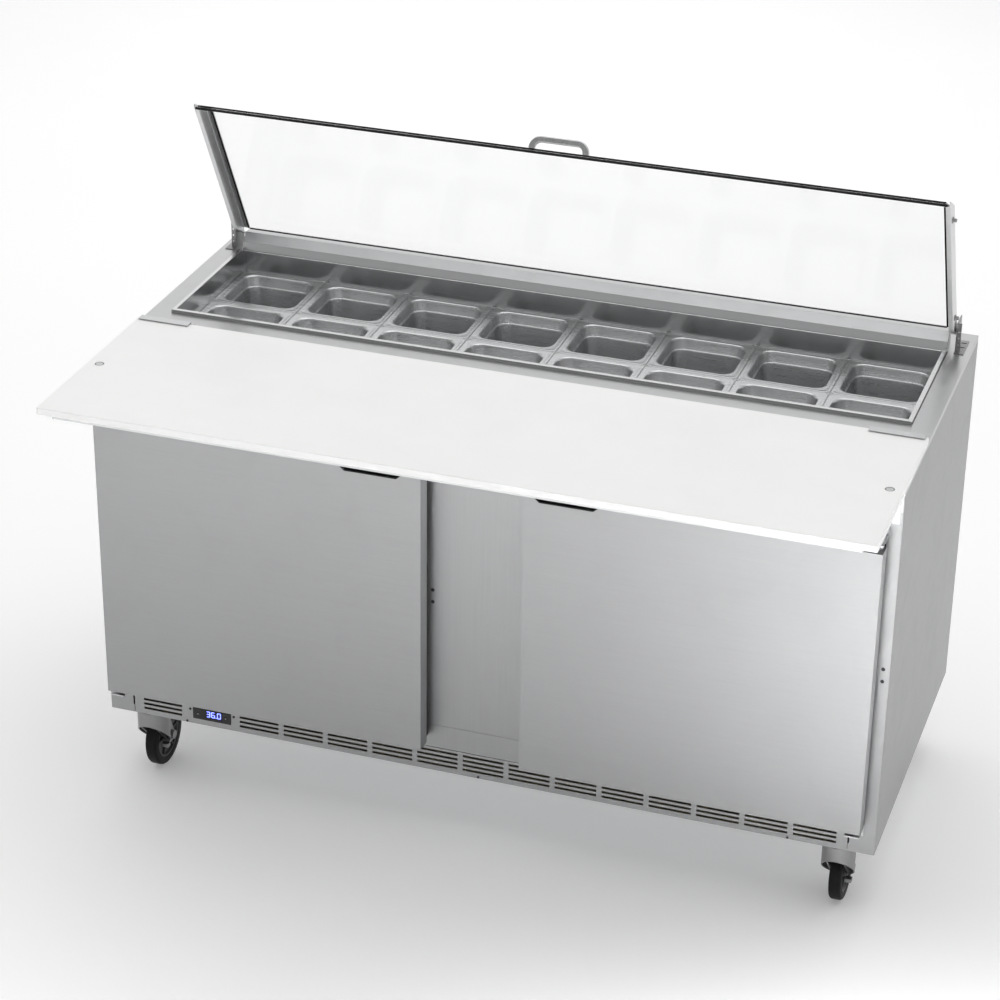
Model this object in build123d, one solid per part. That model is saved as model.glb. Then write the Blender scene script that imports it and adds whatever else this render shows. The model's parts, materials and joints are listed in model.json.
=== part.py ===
"""Refrigerated sandwich prep table on casters.

A 60 inch stainless cabinet with two doors, a food well holding sixteen
sixth-size pans, a clear hinged lid over the well and a cutting board that
overhangs the front.

Frame: millimetres, +X to the operator's right, +Y to the rear, +Z up. The
origin is on the floor below the middle of the table's footprint.
"""
import os
from math import atan2, cos, sin, tan

from build123d import *

# ---------------------------------------------------------------- cabinet
HALF_WIDTH = 762.0
FRAME_Y = -232.0            # front face of the door frame
REAR_Y = 460.0
CABINET_Z = 152.4           # underside of the cabinet, on 6 inch casters
DECK_Z = 898.1
SHEET = 1.2
INNER_HALF = HALF_WIDTH - SHEET
SIDE_TOP_Z = 886.0
BACK_INNER_Y = REAR_Y - SHEET
NOSE_Z = 855.0              # lower edge of the deck's front skirt
LEDGE_Z = 893.2             # front part of the deck, under the cutting board
DECK_STEP_Y = -26.0
DECK_CUT_HALF = 720.6       # opening in the deck for the food well
DECK_CUT_Y = (27.4, 367.0)
MACHINE_COVER_Y = 450.0     # the lower rear cover is set in from the back
MACHINE_COVER_TOP_Z = 368.0
LOUVRE_COLUMNS = tuple(85.0 + 170.0 * k for k in range(-4, 4))
LOUVRE_ROWS = tuple(200.0 + 16.0 * k for k in range(9))
LOUVRE_HALF = 60.0
LOUVRE_HEIGHT = 6.0
INLET_X = 640.0             # power inlet in the machine cover
INLET_Z = 180.0
INLET_HOLE_R = 8.0
BASE_GAUGE = 2.0
CUT = 5.0                   # how far a cutting shape stands clear of the sheet it cuts

# ---------------------------------------------------------------- front frame
FRAME_BOTTOM_Z = CABINET_Z + 52.0
MULLION_HALF = 120.0
OPENING_HALF = 718.0
OPENING_BOTTOM_Z = CABINET_Z + 92.0
OPENING_TOP_Z = 776.0
FRAME_RETURN = 30.0
POST_INNER = 712.0
MULLION_SEAM_HALF = 96.0    # joint line in the mullion's cover
MULLION_SEAM_Z = CABINET_Z + 101.0
POST_SLOT_X = (POST_INNER - 1.0, POST_INNER + 2.4)
POST_SLOT_Z = (CABINET_Z + 17.0, CABINET_Z + 38.0)
PLUG_RADIUS = 3.0
PLUG_X = (-749.8, -91.7, 91.7, 749.8)
PLUG_Z = (CABINET_Z + 366.2, CABINET_Z + 391.1)

# ---------------------------------------------------------------- kick grille
GRILLE_HALF = 711.0
GRILLE_HEIGHT = 51.0
GRILLE_HEM = 5.0
SLOT_LENGTH = 81.0
SLOT_WIDTH = 4.8
SLOT_PITCH_X = 91.5
SLOT_FIRST_X = 650.0        # middle of the rightmost slot group
SLOT_GROUPS = 13
SLOT_LAST_GROUP_X = -651.0
SLOT_FIRST_Z = CABINET_Z + 13.6
SLOT_PITCH_Z = 9.9
SLOT_ROWS = 4
GRILLE_SCREW_X = (-600.0, 0.0, 600.0)

# ---------------------------------------------------------------- thermostat
DISPLAY_X = -547.0
DISPLAY_Z = CABINET_Z + 24.4
DISPLAY_WIDTH = 80.0
DISPLAY_HEIGHT = 24.0
DISPLAY_DEPTH = 28.0
BUTTON_OFFSET = 29.0
BUTTON_TRAVEL = 0.6

# ---------------------------------------------------------------- doors
DOOR_INNER = 96.9
DOOR_OUTER = 741.2
DOOR_FRONT_Y = FRAME_Y - 52.3
DOOR_BACK_Y = FRAME_Y - 19.0
DOOR_BOTTOM_Z = 224.2
DOOR_TOP_Z = 796.4
DOOR_SKIN = 1.0
GASKET_INSET = 4.2
GASKET_WIDTH = 14.0
GASKET_FACE_Y = FRAME_Y - 1.0
GASKET_GROOVE_Y = DOOR_BACK_Y + 5.0
DOOR_PIVOT_X = 731.0
DOOR_PIVOT_Y = -263.5
HINGE_PLATE_X = (712.5, 739.5)
HINGE_PLATE_REACH = 45.0
PIVOT_PIN_R = 4.0
PIVOT_BORE_R = 4.05
GRIP_NOTCH_Z = 787.0
GRIP_BOTTOM_Z = 756.0
GRIP_CENTRE = {"left": -194.0, "right": 175.5}
GRIP_HALF = 61.5
GRIP_NOTCH_HALF = 50.0
GRIP_WALL = 1.5
GRIP_BACK_Y = DOOR_FRONT_Y + 24.0

# ---------------------------------------------------------------- cutting board
BOARD_FRONT_Y = -460.0
BOARD_REAR_Y = -28.2
BOARD_TOP_Z = 905.9
BOARD_BOTTOM_Z = LEDGE_Z
BOARD_PIN_X = 737.8
BOARD_PIN_Y = -250.0
BOARD_PIN_R = 7.0
BOARD_HOLE_R = 8.6
ARM_X = (-735.0, -1.0, 733.0)   # left faces of the three support arms
ARM_GAUGE = 2.0
BRACKET_PLATE_X = (700.0, 757.0)
PLATE_GAUGE = 1.5
WALL_PLATE_GAUGE = 3.0
WALL_PLATE_DROP = 60.0
CENTRE_PLATE_HALF = 30.0
CLIP_X = (655.0, 757.0)
CLIP_Y = (-42.0, -25.5, -24.0, -9.0)
CLIP_GAUGE = 1.5

# ---------------------------------------------------------------- food well
WELL_OUTER_HALF = 720.0
WELL_INNER_HALF = 712.0
WELL_FRONT_Y = 28.0
WELL_INNER_FRONT_Y = 36.0
WELL_INNER_REAR_Y = 361.0
WELL_REAR_Y = 366.4
WELL_RIM_Z = 904.1
WELL_HEM = 12.0
WELL_WALL = 1.5
WELL_LEDGE_Z = 854.3
WELL_SKIRT_Z = 832.0
WELL_LEDGE = 8.0
BAR_GAUGE = 1.2             # adapter bars under the pan rims
BAR_RIB = 16.0              # depth of a bar's stiffening rib
BAR_HALF_RIB = 0.6
CENTRE_BAR_Y = 198.5
CENTRE_BAR_HALF = 703.6
CENTRE_BAR_HALF_WIDTH = 7.0
CROSS_BAR_HALF_WIDTH = 8.0

# ---------------------------------------------------------------- pans
PAN_PITCH = 178.0
PAN_COLUMNS = 8
PAN_WIDTH = 176.0
PAN_LENGTH = 161.5
PAN_ROW_Y = (36.5 + 161.5 / 2, 199.0 + 161.5 / 2)
PAN_RIM_Z = 855.4
PAN_MOUTH = (149.0, 137.0)
PAN_FLOOR = (120.0, 108.0)
PAN_DEPTH = 100.0
PAN_SHOULDER = 22.0
PAN_WALL = 1.0
PAN_CORNER = 28.0

# ---------------------------------------------------------------- lid
HINGE_Y = 392.0
HINGE_Z = 932.4
RISER_HALF = 718.0          # fixed riser the lid closes against
RISER_FOOT_Y = (367.4, 404.0)
RISER_TOP_Y = (388.0, 404.0)
RISER_TOP_Z = 929.0
RISER_LIP = (370.5, 905.0)  # (y, z) of the fold in its sloping face
LID_OPEN_DEG = 62.0
LID_HALF = 729.0
LID_SIDE_SHEET = 1.5
LID_DEPTH = 30.0
PANE_THICKNESS = 4.0
PANE_HALF = 721.0
PANE_REAR = 5.0             # distance from the hinge axis
PANE_BEND = 345.0
PANE_TIP = 388.0
LIP_WIDTH = 8.5
LIP_REAR = 35.0             # the bottom lip ends here and climbs to the hinge
FRONT_SLOPE = atan2(LID_DEPTH, PANE_TIP - PANE_BEND)
TOP_FLANGE_INNER = 711.0
LID_PIN_R = 4.0
LID_BORE_R = 4.05
STUD_AT = ((52.0, 13.0), (330.0, 15.0))   # knurled studs on the channels, forward and below
BRACKET_X = (732.5, 734.5)
BRACKET_FLANGE_X = 742.0
BRACKET_Y = (370.0, 412.0)
BRACKET_TOP_Z = HINGE_Z + 23.6
BRACKET_BASE_X = (732.5, 751.0)
BRACKET_BASE_Y = (358.0, 423.0)
BRACKET_SLOT_X = (738.0, 748.0)
BRACKET_SLOT_Y = (389.0, 410.0)
BRACKET_HOLE_Z = (912.0, 925.0, 938.0)
BRACKET_HOLE_R = 1.8
HANDLE_HALF = 58.0
HANDLE_HEIGHT = 25.0
HANDLE_SETBACK = 6.0
HANDLE_BAR = 12.0
HANDLE_THICKNESS = 9.0
HANDLE_SCREW_X = 51.0

# ---------------------------------------------------------------- casters
CASTER_X = 690.7
CASTER_FRONT_Y = -194.8
CASTER_REAR_Y = 422.8
WHEEL_R = 63.5
WHEEL_HALF = 12.0
TRAIL = 41.0
HOOD_R = 31.4
HOOD_SHELL = 2.5
HOOD_RIM_Z = 85.0           # at the stem; the rim slopes down to the rear
HOOD_RIM_SLOPE = 1.05
HOOD_TOP_Z = 148.4
FORK_LEG_INNER = 15.0
FORK_LEG_OUTER = 18.0
AXLE_R = 5.0
AXLE_BORE_R = 5.06
KINGPIN_R = 6.0
KINGPIN_BORE_R = 6.06

# ---------------------------------------------------------------- interior
CAVITY_HALF = 718.0
CAVITY_FLOOR_Z = 250.0
CAVITY_BACK_Y = 395.0
CAVITY_TOP_Z = 832.0
STEP_Y = 235.0              # front of the step over the machine compartment
STEP_TOP_Z = 415.0
MACHINE_FRONT_Y = 280.0
MACHINE_TOP_Z = 370.0
LINER = 0.8
SHELF_Z = 520.0
SHELF_X = (12.0, CAVITY_HALF - 8.0)
SHELF_Y = (-160.0, 228.0)
SHELF_BEARER_Y = (-150.0, 40.0, 225.0)
SHELF_BEARER = 5.0
SHELF_WIRE = 3.0
SHELF_WIRES = 24
RAIL_Y = (-140.0, 215.0)
RAIL_HALF = 8.0
RAIL_X = (711.0, 717.2)
CENTRE_RAIL_HALF = 4.0
REST_HALF = 6.0
REST_SPANS = ((-711.0, -698.0), (-14.0, -4.0), (4.0, 14.0), (698.0, 711.0))
EVAPORATOR_X = 360.0
EVAPORATOR_Z = 640.0
EVAPORATOR_HALF = 190.0
EVAPORATOR_HALF_HEIGHT = 75.0
EVAPORATOR_COIL_Y = (345.0, 388.0)
SHROUD_Y = (308.0, 310.0)
SHROUD_HALF_HEIGHT = 85.0
FAN_Y = 322.0
COIL_FIN_PITCH = 12.0
COIL_FIN_GAP = 6.0
COMPRESSOR_X = -380.0
CONDENSER_X = 60.0
CONDENSER_HALF = 78.0
CONDENSER_DEPTH = 60.0
CONDENSER_HEIGHT = 200.0
MACHINE_Y = 365.0
MACHINE_FLOOR_Z = CABINET_Z + BASE_GAUGE
CONDENSER_FAN_X = -30.0
CONDENSER_FAN_Z = 262.0
FAN_SHAFT_R = 3.0
FAN_BORE_R = 3.06
SIDES = (-1, 1)


# ---------------------------------------------------------------- helpers
def box(x0, x1, y0, y1, z0, z1):
    """Box between two opposite corners."""
    middle = ((x0 + x1) / 2, (y0 + y1) / 2, (z0 + z1) / 2)
    return Pos(*middle) * Box(abs(x1 - x0), abs(y1 - y0), abs(z1 - z0))


def side_box(side, x0, x1, y0, y1, z0, z1):
    """Box whose X range is measured outwards on one side of the middle."""
    return box(side * x0, side * x1, y0, y1, z0, z1)


def rod_x(x0, x1, y, z, radius):
    """Round rod along X."""
    return Pos((x0 + x1) / 2, y, z) * Rot(0, 90, 0) * Cylinder(radius, abs(x1 - x0))


def rod_y(x, y0, y1, z, radius):
    """Round rod along Y."""
    return Pos(x, (y0 + y1) / 2, z) * Rot(90, 0, 0) * Cylinder(radius, abs(y1 - y0))


def rod_z(x, y, z0, z1, radius):
    """Round rod along Z."""
    return Pos(x, y, (z0 + z1) / 2) * Cylinder(radius, abs(z1 - z0))


def prism_x(points, x0, x1):
    """Solid with the (y, z) outline given, from x0 to x1."""
    low, high = min(x0, x1), max(x0, x1)
    outline = make_face(Polyline(*points, close=True))
    return extrude(Plane.YZ.offset(low) * outline, amount=high - low)


def prism_y(points, y0, y1):
    """Solid with the (x, z) outline given, from y0 to y1."""
    outline = make_face(Polyline(*points, close=True))
    return extrude(Plane.XZ.offset(-y1) * outline, amount=y1 - y0)


def ring(outer_half, inner_half, outer_y, inner_y, z0, z1):
    """Four abutting strips round a rectangle; outer_y and inner_y are (front, rear)."""
    strips = [box(-outer_half, outer_half, outer_y[0], inner_y[0], z0, z1),
              box(-outer_half, outer_half, inner_y[1], outer_y[1], z0, z1)]
    for s in SIDES:
        strips.append(side_box(s, inner_half, outer_half, inner_y[0], inner_y[1], z0, z1))
    return strips


def fuse(shapes):
    """One shape from many."""
    shapes = list(shapes)
    return shapes[0].fuse(*shapes[1:]) if len(shapes) > 1 else shapes[0]


def group(shapes):
    """Compound of separate solids."""
    solids = []
    for shape in shapes:
        solids.extend(shape.solids())
    return Compound(children=solids)


# ---------------------------------------------------------------- shell
def side_panels():
    return [side_box(s, INNER_HALF, HALF_WIDTH, FRAME_Y, REAR_Y, CABINET_Z, SIDE_TOP_Z)
            for s in SIDES]


def back_panel():
    """Upper sheet, ledge and louvred machine cover, which meet edge to edge."""
    upper = box(-INNER_HALF, INNER_HALF, BACK_INNER_Y, REAR_Y,
                MACHINE_COVER_TOP_Z + SHEET, SIDE_TOP_Z)
    ledge = box(-INNER_HALF, INNER_HALF, MACHINE_COVER_Y - SHEET, REAR_Y,
                MACHINE_COVER_TOP_Z, MACHINE_COVER_TOP_Z + SHEET)
    cover = box(-INNER_HALF, INNER_HALF, MACHINE_COVER_Y - SHEET, MACHINE_COVER_Y,
                CABINET_Z + BASE_GAUGE, MACHINE_COVER_TOP_Z)
    slots = [box(x - LOUVRE_HALF, x + LOUVRE_HALF, MACHINE_COVER_Y - CUT, MACHINE_COVER_Y + CUT,
                 z, z + LOUVRE_HEIGHT)
             for x in LOUVRE_COLUMNS for z in LOUVRE_ROWS]
    inlet_hole = rod_y(INLET_X, MACHINE_COVER_Y - CUT, MACHINE_COVER_Y + CUT, INLET_Z,
                       INLET_HOLE_R)
    return [upper, ledge, cover - (slots + [inlet_hole])]


def base_pan():
    return [box(-INNER_HALF, INNER_HALF, FRAME_Y + SHEET + 0.1, MACHINE_COVER_Y - SHEET,
                CABINET_Z, CABINET_Z + BASE_GAUGE)]


def top_deck():
    """Folded sheet round the well, drawn as flat lands that meet edge to edge."""
    under = DECK_Z - SHEET
    ledge_under = LEDGE_Z - SHEET
    skin_y = FRAME_Y + SHEET
    solids = ring(HALF_WIDTH, DECK_CUT_HALF, (DECK_STEP_Y, REAR_Y), DECK_CUT_Y, under, DECK_Z)
    solids += [
        box(-HALF_WIDTH, HALF_WIDTH, DECK_STEP_Y - SHEET, DECK_STEP_Y, ledge_under, DECK_Z),
        box(-HALF_WIDTH, HALF_WIDTH, FRAME_Y, DECK_STEP_Y - SHEET, ledge_under, LEDGE_Z),
        box(-HALF_WIDTH, HALF_WIDTH, FRAME_Y, skin_y, SIDE_TOP_Z, ledge_under),
        box(-INNER_HALF, INNER_HALF, FRAME_Y, skin_y, NOSE_Z, SIDE_TOP_Z),
        box(-HALF_WIDTH, HALF_WIDTH, BACK_INNER_Y, REAR_Y, SIDE_TOP_Z, under),
    ]
    for s in SIDES:
        solids.append(side_box(s, INNER_HALF, HALF_WIDTH, skin_y, DECK_STEP_Y,
                               SIDE_TOP_Z, ledge_under))
        solids.append(side_box(s, INNER_HALF, HALF_WIDTH, DECK_STEP_Y, BACK_INNER_Y,
                               SIDE_TOP_Z, under))
    return solids


def front_frame():
    """Header, bottom rail, stiles, mullion and corner posts, with returns into the openings."""
    skin_y = FRAME_Y + SHEET
    return_y = FRAME_Y + FRAME_RETURN
    solids = [
        box(-INNER_HALF, INNER_HALF, FRAME_Y, skin_y, FRAME_BOTTOM_Z, OPENING_BOTTOM_Z),
        box(-INNER_HALF, INNER_HALF, FRAME_Y, skin_y, OPENING_TOP_Z, NOSE_Z),
    ]
    mullion = box(-MULLION_HALF, MULLION_HALF, FRAME_Y, skin_y, OPENING_BOTTOM_Z, OPENING_TOP_Z)
    seam = box(-MULLION_SEAM_HALF, MULLION_SEAM_HALF, FRAME_Y - 1, FRAME_Y + 0.5,
               MULLION_SEAM_Z, MULLION_SEAM_Z + 1)
    uprights = [mullion - seam]
    for s in SIDES:
        uprights.append(side_box(s, OPENING_HALF, INNER_HALF, FRAME_Y, skin_y,
                                 OPENING_BOTTOM_Z, OPENING_TOP_Z))
        post = side_box(s, POST_INNER, INNER_HALF, FRAME_Y, skin_y, CABINET_Z, FRAME_BOTTOM_Z)
        solids.append(post - side_box(s, *POST_SLOT_X, FRAME_Y - CUT, FRAME_Y + CUT,
                                      *POST_SLOT_Z))
        for x0, x1 in ((MULLION_HALF - SHEET, MULLION_HALF), (OPENING_HALF, OPENING_HALF + SHEET)):
            solids.append(side_box(s, x0, x1, skin_y, return_y, OPENING_BOTTOM_Z - SHEET,
                                   OPENING_TOP_Z + SHEET))
        for z0, z1 in ((OPENING_BOTTOM_Z - SHEET, OPENING_BOTTOM_Z),
                       (OPENING_TOP_Z, OPENING_TOP_Z + SHEET)):
            solids.append(side_box(s, MULLION_HALF, OPENING_HALF, skin_y, return_y, z0, z1))
    holes = [rod_y(x, FRAME_Y - CUT, FRAME_Y + CUT, z, PLUG_RADIUS)
             for x in PLUG_X for z in PLUG_Z]
    return solids + [upright - holes for upright in uprights]


def frame_plugs():
    plugs = []
    for x in PLUG_X:
        for z in PLUG_Z:
            head = rod_y(x, FRAME_Y - 0.8, FRAME_Y, z, PLUG_RADIUS + 0.6)
            stem = rod_y(x, FRAME_Y, FRAME_Y + SHEET, z, PLUG_RADIUS)
            plugs.append(head + stem)
    for x in GRILLE_SCREW_X:
        plugs.append(rod_y(x, FRAME_Y - 1.2, FRAME_Y, CABINET_Z + 3.0, 2.4))
    return plugs


def kick_grille():
    plate = box(-GRILLE_HALF, GRILLE_HALF, FRAME_Y, FRAME_Y + SHEET,
                CABINET_Z, CABINET_Z + GRILLE_HEIGHT)
    hem = box(-GRILLE_HALF, GRILLE_HALF, FRAME_Y, FRAME_Y + SHEET,
              CABINET_Z, CABINET_Z + GRILLE_HEM)
    slot = Box(SLOT_LENGTH, 2 * CUT, SLOT_WIDTH)
    centres = [SLOT_FIRST_X - SLOT_PITCH_X * k for k in range(SLOT_GROUPS)]
    centres.append(SLOT_LAST_GROUP_X)
    slots = []
    for x in centres:
        for row in range(SLOT_ROWS):
            slots.append(Pos(x, FRAME_Y, SLOT_FIRST_Z + SLOT_PITCH_Z * row) * slot)
    window = box(DISPLAY_X - DISPLAY_WIDTH / 2 + 2, DISPLAY_X + DISPLAY_WIDTH / 2 - 2,
                 FRAME_Y - CUT, FRAME_Y + CUT,
                 DISPLAY_Z - DISPLAY_HEIGHT / 2 + 1.5, DISPLAY_Z + DISPLAY_HEIGHT / 2 - 1.5)
    return [(plate + hem) - (slots + [window])]


def thermostat():
    half_w = DISPLAY_WIDTH / 2
    half_h = DISPLAY_HEIGHT / 2
    bezel = box(DISPLAY_X - half_w, DISPLAY_X + half_w, FRAME_Y - 1.5, FRAME_Y,
                DISPLAY_Z - half_h, DISPLAY_Z + half_h)
    body = box(DISPLAY_X - half_w + 2.2, DISPLAY_X + half_w - 2.2, FRAME_Y,
               FRAME_Y + DISPLAY_DEPTH, DISPLAY_Z - half_h + 1.7, DISPLAY_Z + half_h - 1.7)
    pockets = [box(DISPLAY_X + s * BUTTON_OFFSET - 4.2, DISPLAY_X + s * BUTTON_OFFSET + 4.2,
                   FRAME_Y - 3, FRAME_Y + 3, DISPLAY_Z - 3.2, DISPLAY_Z + 3.2)
               for s in SIDES]
    return [(bezel + body) - pockets]


def thermostat_button(side):
    x = DISPLAY_X + side * BUTTON_OFFSET
    return [box(x - 4, x + 4, FRAME_Y - 1.9, FRAME_Y + 2.2, DISPLAY_Z - 3, DISPLAY_Z + 3)]


# ---------------------------------------------------------------- insulation
def foam_insulation():
    top = LEDGE_Z - SHEET
    inner = FRAME_Y + SHEET
    back = BACK_INNER_Y
    slabs = [
        box(-INNER_HALF, INNER_HALF, inner, MACHINE_FRONT_Y, FRAME_BOTTOM_Z,
            OPENING_BOTTOM_Z - SHEET),
        box(-CAVITY_HALF, CAVITY_HALF, inner + FRAME_RETURN, MACHINE_FRONT_Y,
            OPENING_BOTTOM_Z - SHEET, CAVITY_FLOOR_Z),
        box(-CAVITY_HALF, CAVITY_HALF, STEP_Y, MACHINE_FRONT_Y, CAVITY_FLOOR_Z, STEP_TOP_Z),
        box(-CAVITY_HALF, CAVITY_HALF, MACHINE_FRONT_Y, back, MACHINE_TOP_Z, STEP_TOP_Z),
        box(-CAVITY_HALF, CAVITY_HALF, CAVITY_BACK_Y, back, STEP_TOP_Z, CAVITY_TOP_Z),
        box(-CAVITY_HALF, CAVITY_HALF, WELL_REAR_Y + 1, back, CAVITY_TOP_Z, top),
        box(-CAVITY_HALF, CAVITY_HALF, inner + FRAME_RETURN, WELL_FRONT_Y - 3,
            CAVITY_TOP_Z, top),
        box(-MULLION_HALF + SHEET, MULLION_HALF - SHEET, inner, inner + FRAME_RETURN,
            OPENING_BOTTOM_Z, OPENING_TOP_Z),
        box(-INNER_HALF, INNER_HALF, inner, inner + FRAME_RETURN,
            OPENING_TOP_Z + SHEET, top),
    ]
    for s in SIDES:
        slabs.append(side_box(s, OPENING_HALF + SHEET, INNER_HALF, inner, inner + FRAME_RETURN,
                              OPENING_BOTTOM_Z - SHEET, OPENING_TOP_Z + SHEET))
        slabs.append(side_box(s, CAVITY_HALF, INNER_HALF, inner + FRAME_RETURN,
                              MACHINE_COVER_Y - SHEET, CAVITY_FLOOR_Z, MACHINE_COVER_TOP_Z))
        slabs.append(side_box(s, CAVITY_HALF, INNER_HALF, inner + FRAME_RETURN, back,
                              MACHINE_TOP_Z, CAVITY_TOP_Z))
        slabs.append(side_box(s, WELL_OUTER_HALF + 4, INNER_HALF, inner + FRAME_RETURN, back,
                              CAVITY_TOP_Z, top))
    return slabs


def cabinet_liner():
    front = FRAME_Y + FRAME_RETURN + SHEET
    half = CAVITY_HALF
    t = LINER
    sheets = [
        box(-half, half, front, STEP_Y, CAVITY_FLOOR_Z, CAVITY_FLOOR_Z + t),
        box(-half, half, STEP_Y - t, STEP_Y, CAVITY_FLOOR_Z, STEP_TOP_Z + t),
        box(-half, half, STEP_Y - t, CAVITY_BACK_Y, STEP_TOP_Z, STEP_TOP_Z + t),
        box(-half, half, CAVITY_BACK_Y - t, CAVITY_BACK_Y, STEP_TOP_Z, CAVITY_TOP_Z),
        box(-half, half, front, WELL_FRONT_Y - 3, CAVITY_TOP_Z - t, CAVITY_TOP_Z),
        box(-half, half, WELL_REAR_Y + 1, CAVITY_BACK_Y, CAVITY_TOP_Z - t, CAVITY_TOP_Z),
    ]
    for s in SIDES:
        sheets.append(side_box(s, half - t, half, front, STEP_Y, CAVITY_FLOOR_Z, CAVITY_TOP_Z))
        sheets.append(side_box(s, half - t, half, STEP_Y - t, CAVITY_BACK_Y,
                               STEP_TOP_Z, CAVITY_TOP_Z))
    return [fuse(sheets)]


# ---------------------------------------------------------------- food well
def food_well():
    """Hemmed rim, walls, pan ledge and skirt, each as four strips that meet at the corners."""
    outer = (WELL_FRONT_Y, WELL_REAR_Y)
    inner = (WELL_INNER_FRONT_Y, WELL_INNER_REAR_Y)
    wall = (inner[0] - WELL_WALL, inner[1] + WELL_WALL)
    mouth = (inner[0] + WELL_LEDGE, inner[1] - WELL_LEDGE)
    mouth_half = WELL_INNER_HALF - WELL_LEDGE
    skirt = (mouth[0] - SHEET, mouth[1] + SHEET)
    hem_z = WELL_RIM_Z - WELL_HEM
    ledge_under = WELL_LEDGE_Z - WELL_WALL
    rim = ring(WELL_OUTER_HALF, WELL_INNER_HALF, outer, inner, hem_z, WELL_RIM_Z)
    rim[1] = box(-WELL_OUTER_HALF, WELL_OUTER_HALF, inner[1], outer[1], hem_z, DECK_Z + 0.9)
    return (rim
            + ring(WELL_INNER_HALF + WELL_WALL, WELL_INNER_HALF, wall, inner, WELL_LEDGE_Z, hem_z)
            + ring(WELL_INNER_HALF + WELL_WALL, mouth_half, wall, mouth,
                   ledge_under, WELL_LEDGE_Z)
            + ring(mouth_half + SHEET, mouth_half, skirt, mouth, WELL_SKIRT_Z, ledge_under))


def adapter_bars():
    """One long bar between the rows and short ones between the columns, all T shaped."""
    mouth_front = WELL_INNER_FRONT_Y + WELL_LEDGE
    mouth_rear = WELL_INNER_REAR_Y - WELL_LEDGE
    top = WELL_LEDGE_Z
    plate_z = top - BAR_GAUGE
    rib_z = top - BAR_RIB
    half = CENTRE_BAR_HALF
    front_y = CENTRE_BAR_Y - CENTRE_BAR_HALF_WIDTH
    rear_y = CENTRE_BAR_Y + CENTRE_BAR_HALF_WIDTH
    bars = [fuse([
        box(-half, half, front_y, rear_y, plate_z, top),
        box(-half, half, CENTRE_BAR_Y - BAR_HALF_RIB, CENTRE_BAR_Y + BAR_HALF_RIB, rib_z, top),
    ])]
    for k in range(1 - PAN_COLUMNS // 2, PAN_COLUMNS // 2):
        x = k * PAN_PITCH
        for y0, y1 in ((mouth_front + 0.2, front_y), (rear_y, mouth_rear - 0.2)):
            bars.append(box(x - CROSS_BAR_HALF_WIDTH, x + CROSS_BAR_HALF_WIDTH, y0, y1,
                            plate_z, top))
            bars.append(box(x - BAR_HALF_RIB, x + BAR_HALF_RIB, y0, y1, rib_z, plate_z))
        bars.append(box(x - 0.7, x + 0.7, WELL_INNER_FRONT_Y + 0.5, WELL_INNER_REAR_Y - 0.5,
                        top, PAN_RIM_Z + 0.8))
    return bars


def rounded_slab(width, length, radius, z):
    """Rounded rectangle face at height z."""
    return Pos(0, 0, z) * RectangleRounded(width, length, radius)


def pan_cup(extra, mouth_z, shoulder_z, floor_z):
    """Tapered cup; extra widens it by the wall thickness on every side."""
    grow = 2 * extra
    mouth_w, mouth_l = PAN_MOUTH
    floor_w, floor_l = PAN_FLOOR
    upper = loft([rounded_slab(mouth_w + grow, mouth_l + grow, PAN_CORNER + extra, mouth_z),
                  rounded_slab(mouth_w - 4 + grow, mouth_l - 4 + grow,
                               PAN_CORNER - 2 + extra, shoulder_z)])
    lower = loft([rounded_slab(mouth_w - 9 + grow, mouth_l - 9 + grow,
                               PAN_CORNER - 4 + extra, shoulder_z),
                  rounded_slab(floor_w + grow, floor_l + grow, PAN_CORNER - 8 + extra,
                               floor_z)])
    return upper + lower


def pan_at_origin():
    shoulder_z = PAN_RIM_Z - PAN_SHOULDER
    rim = extrude(Pos(0, 0, PAN_RIM_Z - PAN_WALL)
                  * RectangleRounded(PAN_WIDTH, PAN_LENGTH, 9.0), amount=PAN_WALL)
    outside = pan_cup(PAN_WALL, PAN_RIM_Z, shoulder_z - PAN_WALL,
                      PAN_RIM_Z - PAN_DEPTH - PAN_WALL)
    inside = pan_cup(0.0, PAN_RIM_Z + 0.01, shoulder_z, PAN_RIM_Z - PAN_DEPTH)
    lip_cut = extrude(Pos(0, 0, PAN_RIM_Z) * RectangleRounded(100, 90, 20), amount=5)
    return (rim + outside) - inside - lip_cut


PAN = pan_at_origin()


def food_pans(column):
    x = (column - (PAN_COLUMNS - 1) / 2) * PAN_PITCH
    return [Pos(x, y, 0) * PAN for y in PAN_ROW_Y]


def lid_riser():
    profile = [(RISER_FOOT_Y[0], DECK_Z), RISER_LIP, (RISER_TOP_Y[0], RISER_TOP_Z),
               (RISER_TOP_Y[1], RISER_TOP_Z), (RISER_FOOT_Y[1], DECK_Z)]
    return [prism_x(profile, -RISER_HALF, RISER_HALF)]


# ---------------------------------------------------------------- lid
def lid_point(u, n):
    """(y, z) of a closed-lid point, u forward of the hinge and n below it."""
    return (HINGE_Y - u, HINGE_Z - n)


def lid_prism(points, x0, x1):
    """Lid solid from a (u, n) outline."""
    return prism_x([lid_point(u, n) for u, n in points], x0, x1)


def open_lid(shape):
    """Swing a shape from the closed lid to its rest position."""
    return Pos(0, HINGE_Y, HINGE_Z) * Rot(-LID_OPEN_DEG, 0, 0) \
        * Pos(0, -HINGE_Y, -HINGE_Z) * shape


def offset_bend(distance):
    """Where the bend line sits on a surface that far outside the pane's inner face."""
    return PANE_BEND + distance * tan(FRONT_SLOPE / 2)


def offset_tip(distance):
    """Lower end of the slanted front, that far outside the pane's inner face."""
    return (PANE_TIP + distance * sin(FRONT_SLOPE), LID_DEPTH - distance * cos(FRONT_SLOPE))


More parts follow.
